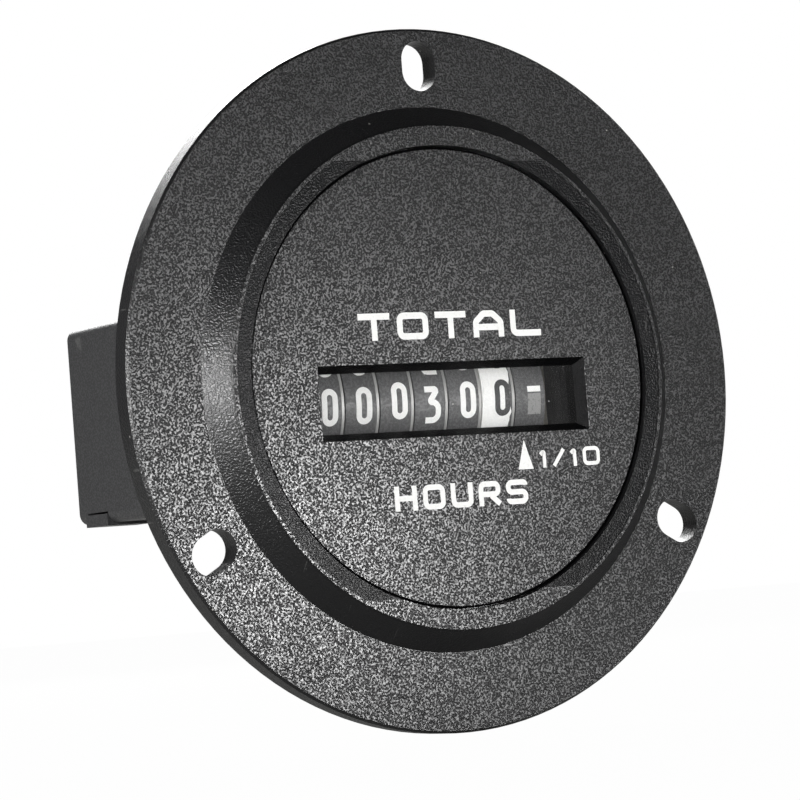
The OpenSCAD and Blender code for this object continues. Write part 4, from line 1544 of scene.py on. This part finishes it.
@dataclass
class Studio:
    """Camera, lamps, pale floor and white surroundings, in metres, degrees and pixels."""

    azimuth: float = -32.28
    elevation: float = -3.45
    roll: float = -4.503
    distance: float = 0.3513
    focal_px: float = 3430.2
    image_px: float = 800.0
    centre_px: Point = (430.7, 380.5)
    sensor: float = 36.0
    nearest: float = 0.01
    floor_z: float = -0.0365
    floor_reach: float = 1.5
    floor_colours: tuple[str, str] = ("#a8a8a6", "#b4b4b2")
    floor_noise: Point = (4.0, 3.0)
    floor_roughness: float = 0.9
    floor_white: float = 0.985
    ambient: float = 0.1
    mirrored: float = 0.14
    dim_fade: Point = (0.35, 0.8)
    dimmed: float = 0.15
    lamps: tuple[Lamp, ...] = (
        Lamp("key_lamp", (0.074, -0.174, -0.014), (-0.02, 0.0, -0.018), 0.03, 0.21),
        Lamp("left_lamp", (-0.234, -0.06, 0.015), (0.0, 0.0, 0.0), 0.05, 0.4),
        Lamp("front_fill_lamp", (-0.25, -0.38, 0.03), (0.0, 0.0, 0.0), 0.2, 0.36),
        Lamp("rear_lamp", (0.16, 0.42, 0.22), (0.0, 0.03, 0.0), 0.3, 2.0),
    )

    def camera(self) -> None:
        """Set the camera at the viewing angle of the photograph."""
        a, e, r = (math.radians(v) for v in (self.azimuth, self.elevation, self.roll))
        back = Vector((math.sin(a) * math.cos(e), -math.cos(a) * math.cos(e), math.sin(e)))
        right = Vector((math.cos(a), math.sin(a), 0.0))
        up = back.cross(right)
        across = right * math.cos(r) + up * math.sin(r)
        above = up * math.cos(r) - right * math.sin(r)
        data = bpy.data.cameras.new("camera")
        data.sensor_width = self.sensor
        data.lens = self.focal_px * self.sensor / self.image_px
        data.shift_x = (self.image_px / 2 - self.centre_px[0]) / self.image_px
        data.shift_y = (self.centre_px[1] - self.image_px / 2) / self.image_px
        data.clip_start = self.nearest
        made = bpy.data.objects.new("camera", data)
        turned = Matrix((across, above, back)).transposed().to_4x4()
        made.matrix_world = Matrix.Translation(back * self.distance) @ turned
        bpy.context.scene.collection.objects.link(made)
        bpy.context.scene.camera = made

    def _floor_paper(self) -> Material:
        """Make the floor's material, which the camera sees as white with a faint shadow.

        Returns:
            The material.
        """
        material, graph, shader, place = Finish("pale_floor", self.floor_colours[0]).start()
        paper = graph.noise(place, *self.floor_noise)
        graph.put(shader.inputs["Base Color"], graph.blend(paper, *(tint(c) for c in self.floor_colours)))
        shader.inputs["Roughness"].default_value = self.floor_roughness
        path = graph.add("ShaderNodeLightPath").outputs
        seen = graph.math("MAXIMUM", path["Is Camera Ray"], path["Is Transmission Ray"])
        glow = graph.add("ShaderNodeEmission", {"Color": WHITE, "Strength": 1.0})
        layers = {0: graph.times(seen, self.floor_white), 1: shader.outputs[0], 2: glow.outputs[0]}
        mixed = graph.add("ShaderNodeMixShader", layers)
        graph.put(material.node_tree.nodes["Material Output"].inputs["Surface"], mixed.outputs[0])
        return material

    def floor(self) -> None:
        """Lay a plain pale floor."""
        mesh = bpy.data.meshes.new("floor")
        far = self.floor_reach
        corners = [(x, y, self.floor_z) for x, y in ((-far, -far), (far, -far), (far, far), (-far, far))]
        mesh.from_pydata(corners, [], [(0, 1, 2, 3)])
        mesh.materials.append(self._floor_paper())
        made = bpy.data.objects.new("floor", mesh)
        bpy.context.scene.collection.objects.link(made)

    def surroundings(self) -> None:
        """Make a white surround that dims overhead and underfoot, and is soft to all but the camera."""
        world = bpy.data.worlds.new("studio")
        world.use_nodes = True
        bpy.context.scene.world = world
        graph = Graph(world.node_tree)
        graph.tree.nodes.clear()
        way = graph.add("ShaderNodeTexCoord").outputs["Generated"]
        rise = graph.math("ABSOLUTE", graph.axes(way)[2])
        level = graph.between(graph.fade(rise, *self.dim_fade), 1.0, self.dimmed)
        path = graph.add("ShaderNodeLightPath").outputs
        mirror = graph.math("MAXIMUM", path["Is Glossy Ray"], path["Is Transmission Ray"])
        soft = graph.times(level, graph.between(mirror, self.ambient, self.mirrored))
        strength = graph.between(path["Is Camera Ray"], soft, 1.0)
        light = graph.add("ShaderNodeBackground", {"Color": WHITE, "Strength": strength})
        graph.add("ShaderNodeOutputWorld", {"Surface": light.outputs[0]})

    def build(self) -> None:
        """Set up the whole studio."""
        bpy.context.scene.view_settings.view_transform = "Standard"
        self.camera()
        self.floor()
        self.surroundings()
        for lamp in self.lamps:
            lamp.build()


@dataclass
class HourMeter:
    """The whole meter."""

    studio: Studio = field(default_factory=Studio)
    bezel: Bezel = field(default_factory=Bezel)
    face: FacePlate = field(default_factory=FacePlate)
    counter: Counter = field(default_factory=Counter)
    case: Case = field(default_factory=Case)
    train: GearTrain = field(default_factory=GearTrain)
    motor: Motor = field(default_factory=Motor)
    electronics: Electronics = field(default_factory=Electronics)

    def build(self) -> None:
        """Build and dress every sub-assembly in order."""
        self.studio.build()
        self.bezel.dress()
        for part in (self.face, self.counter, self.motor):
            part.build()
            part.dress()
        for part in (self.case, self.train, self.electronics):
            part.dress()


def main() -> None:
    logging.basicConfig(level=logging.INFO, format="%(name)s: %(message)s")
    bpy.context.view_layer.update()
    HourMeter().build()


if __name__ == "__main__":
    main()
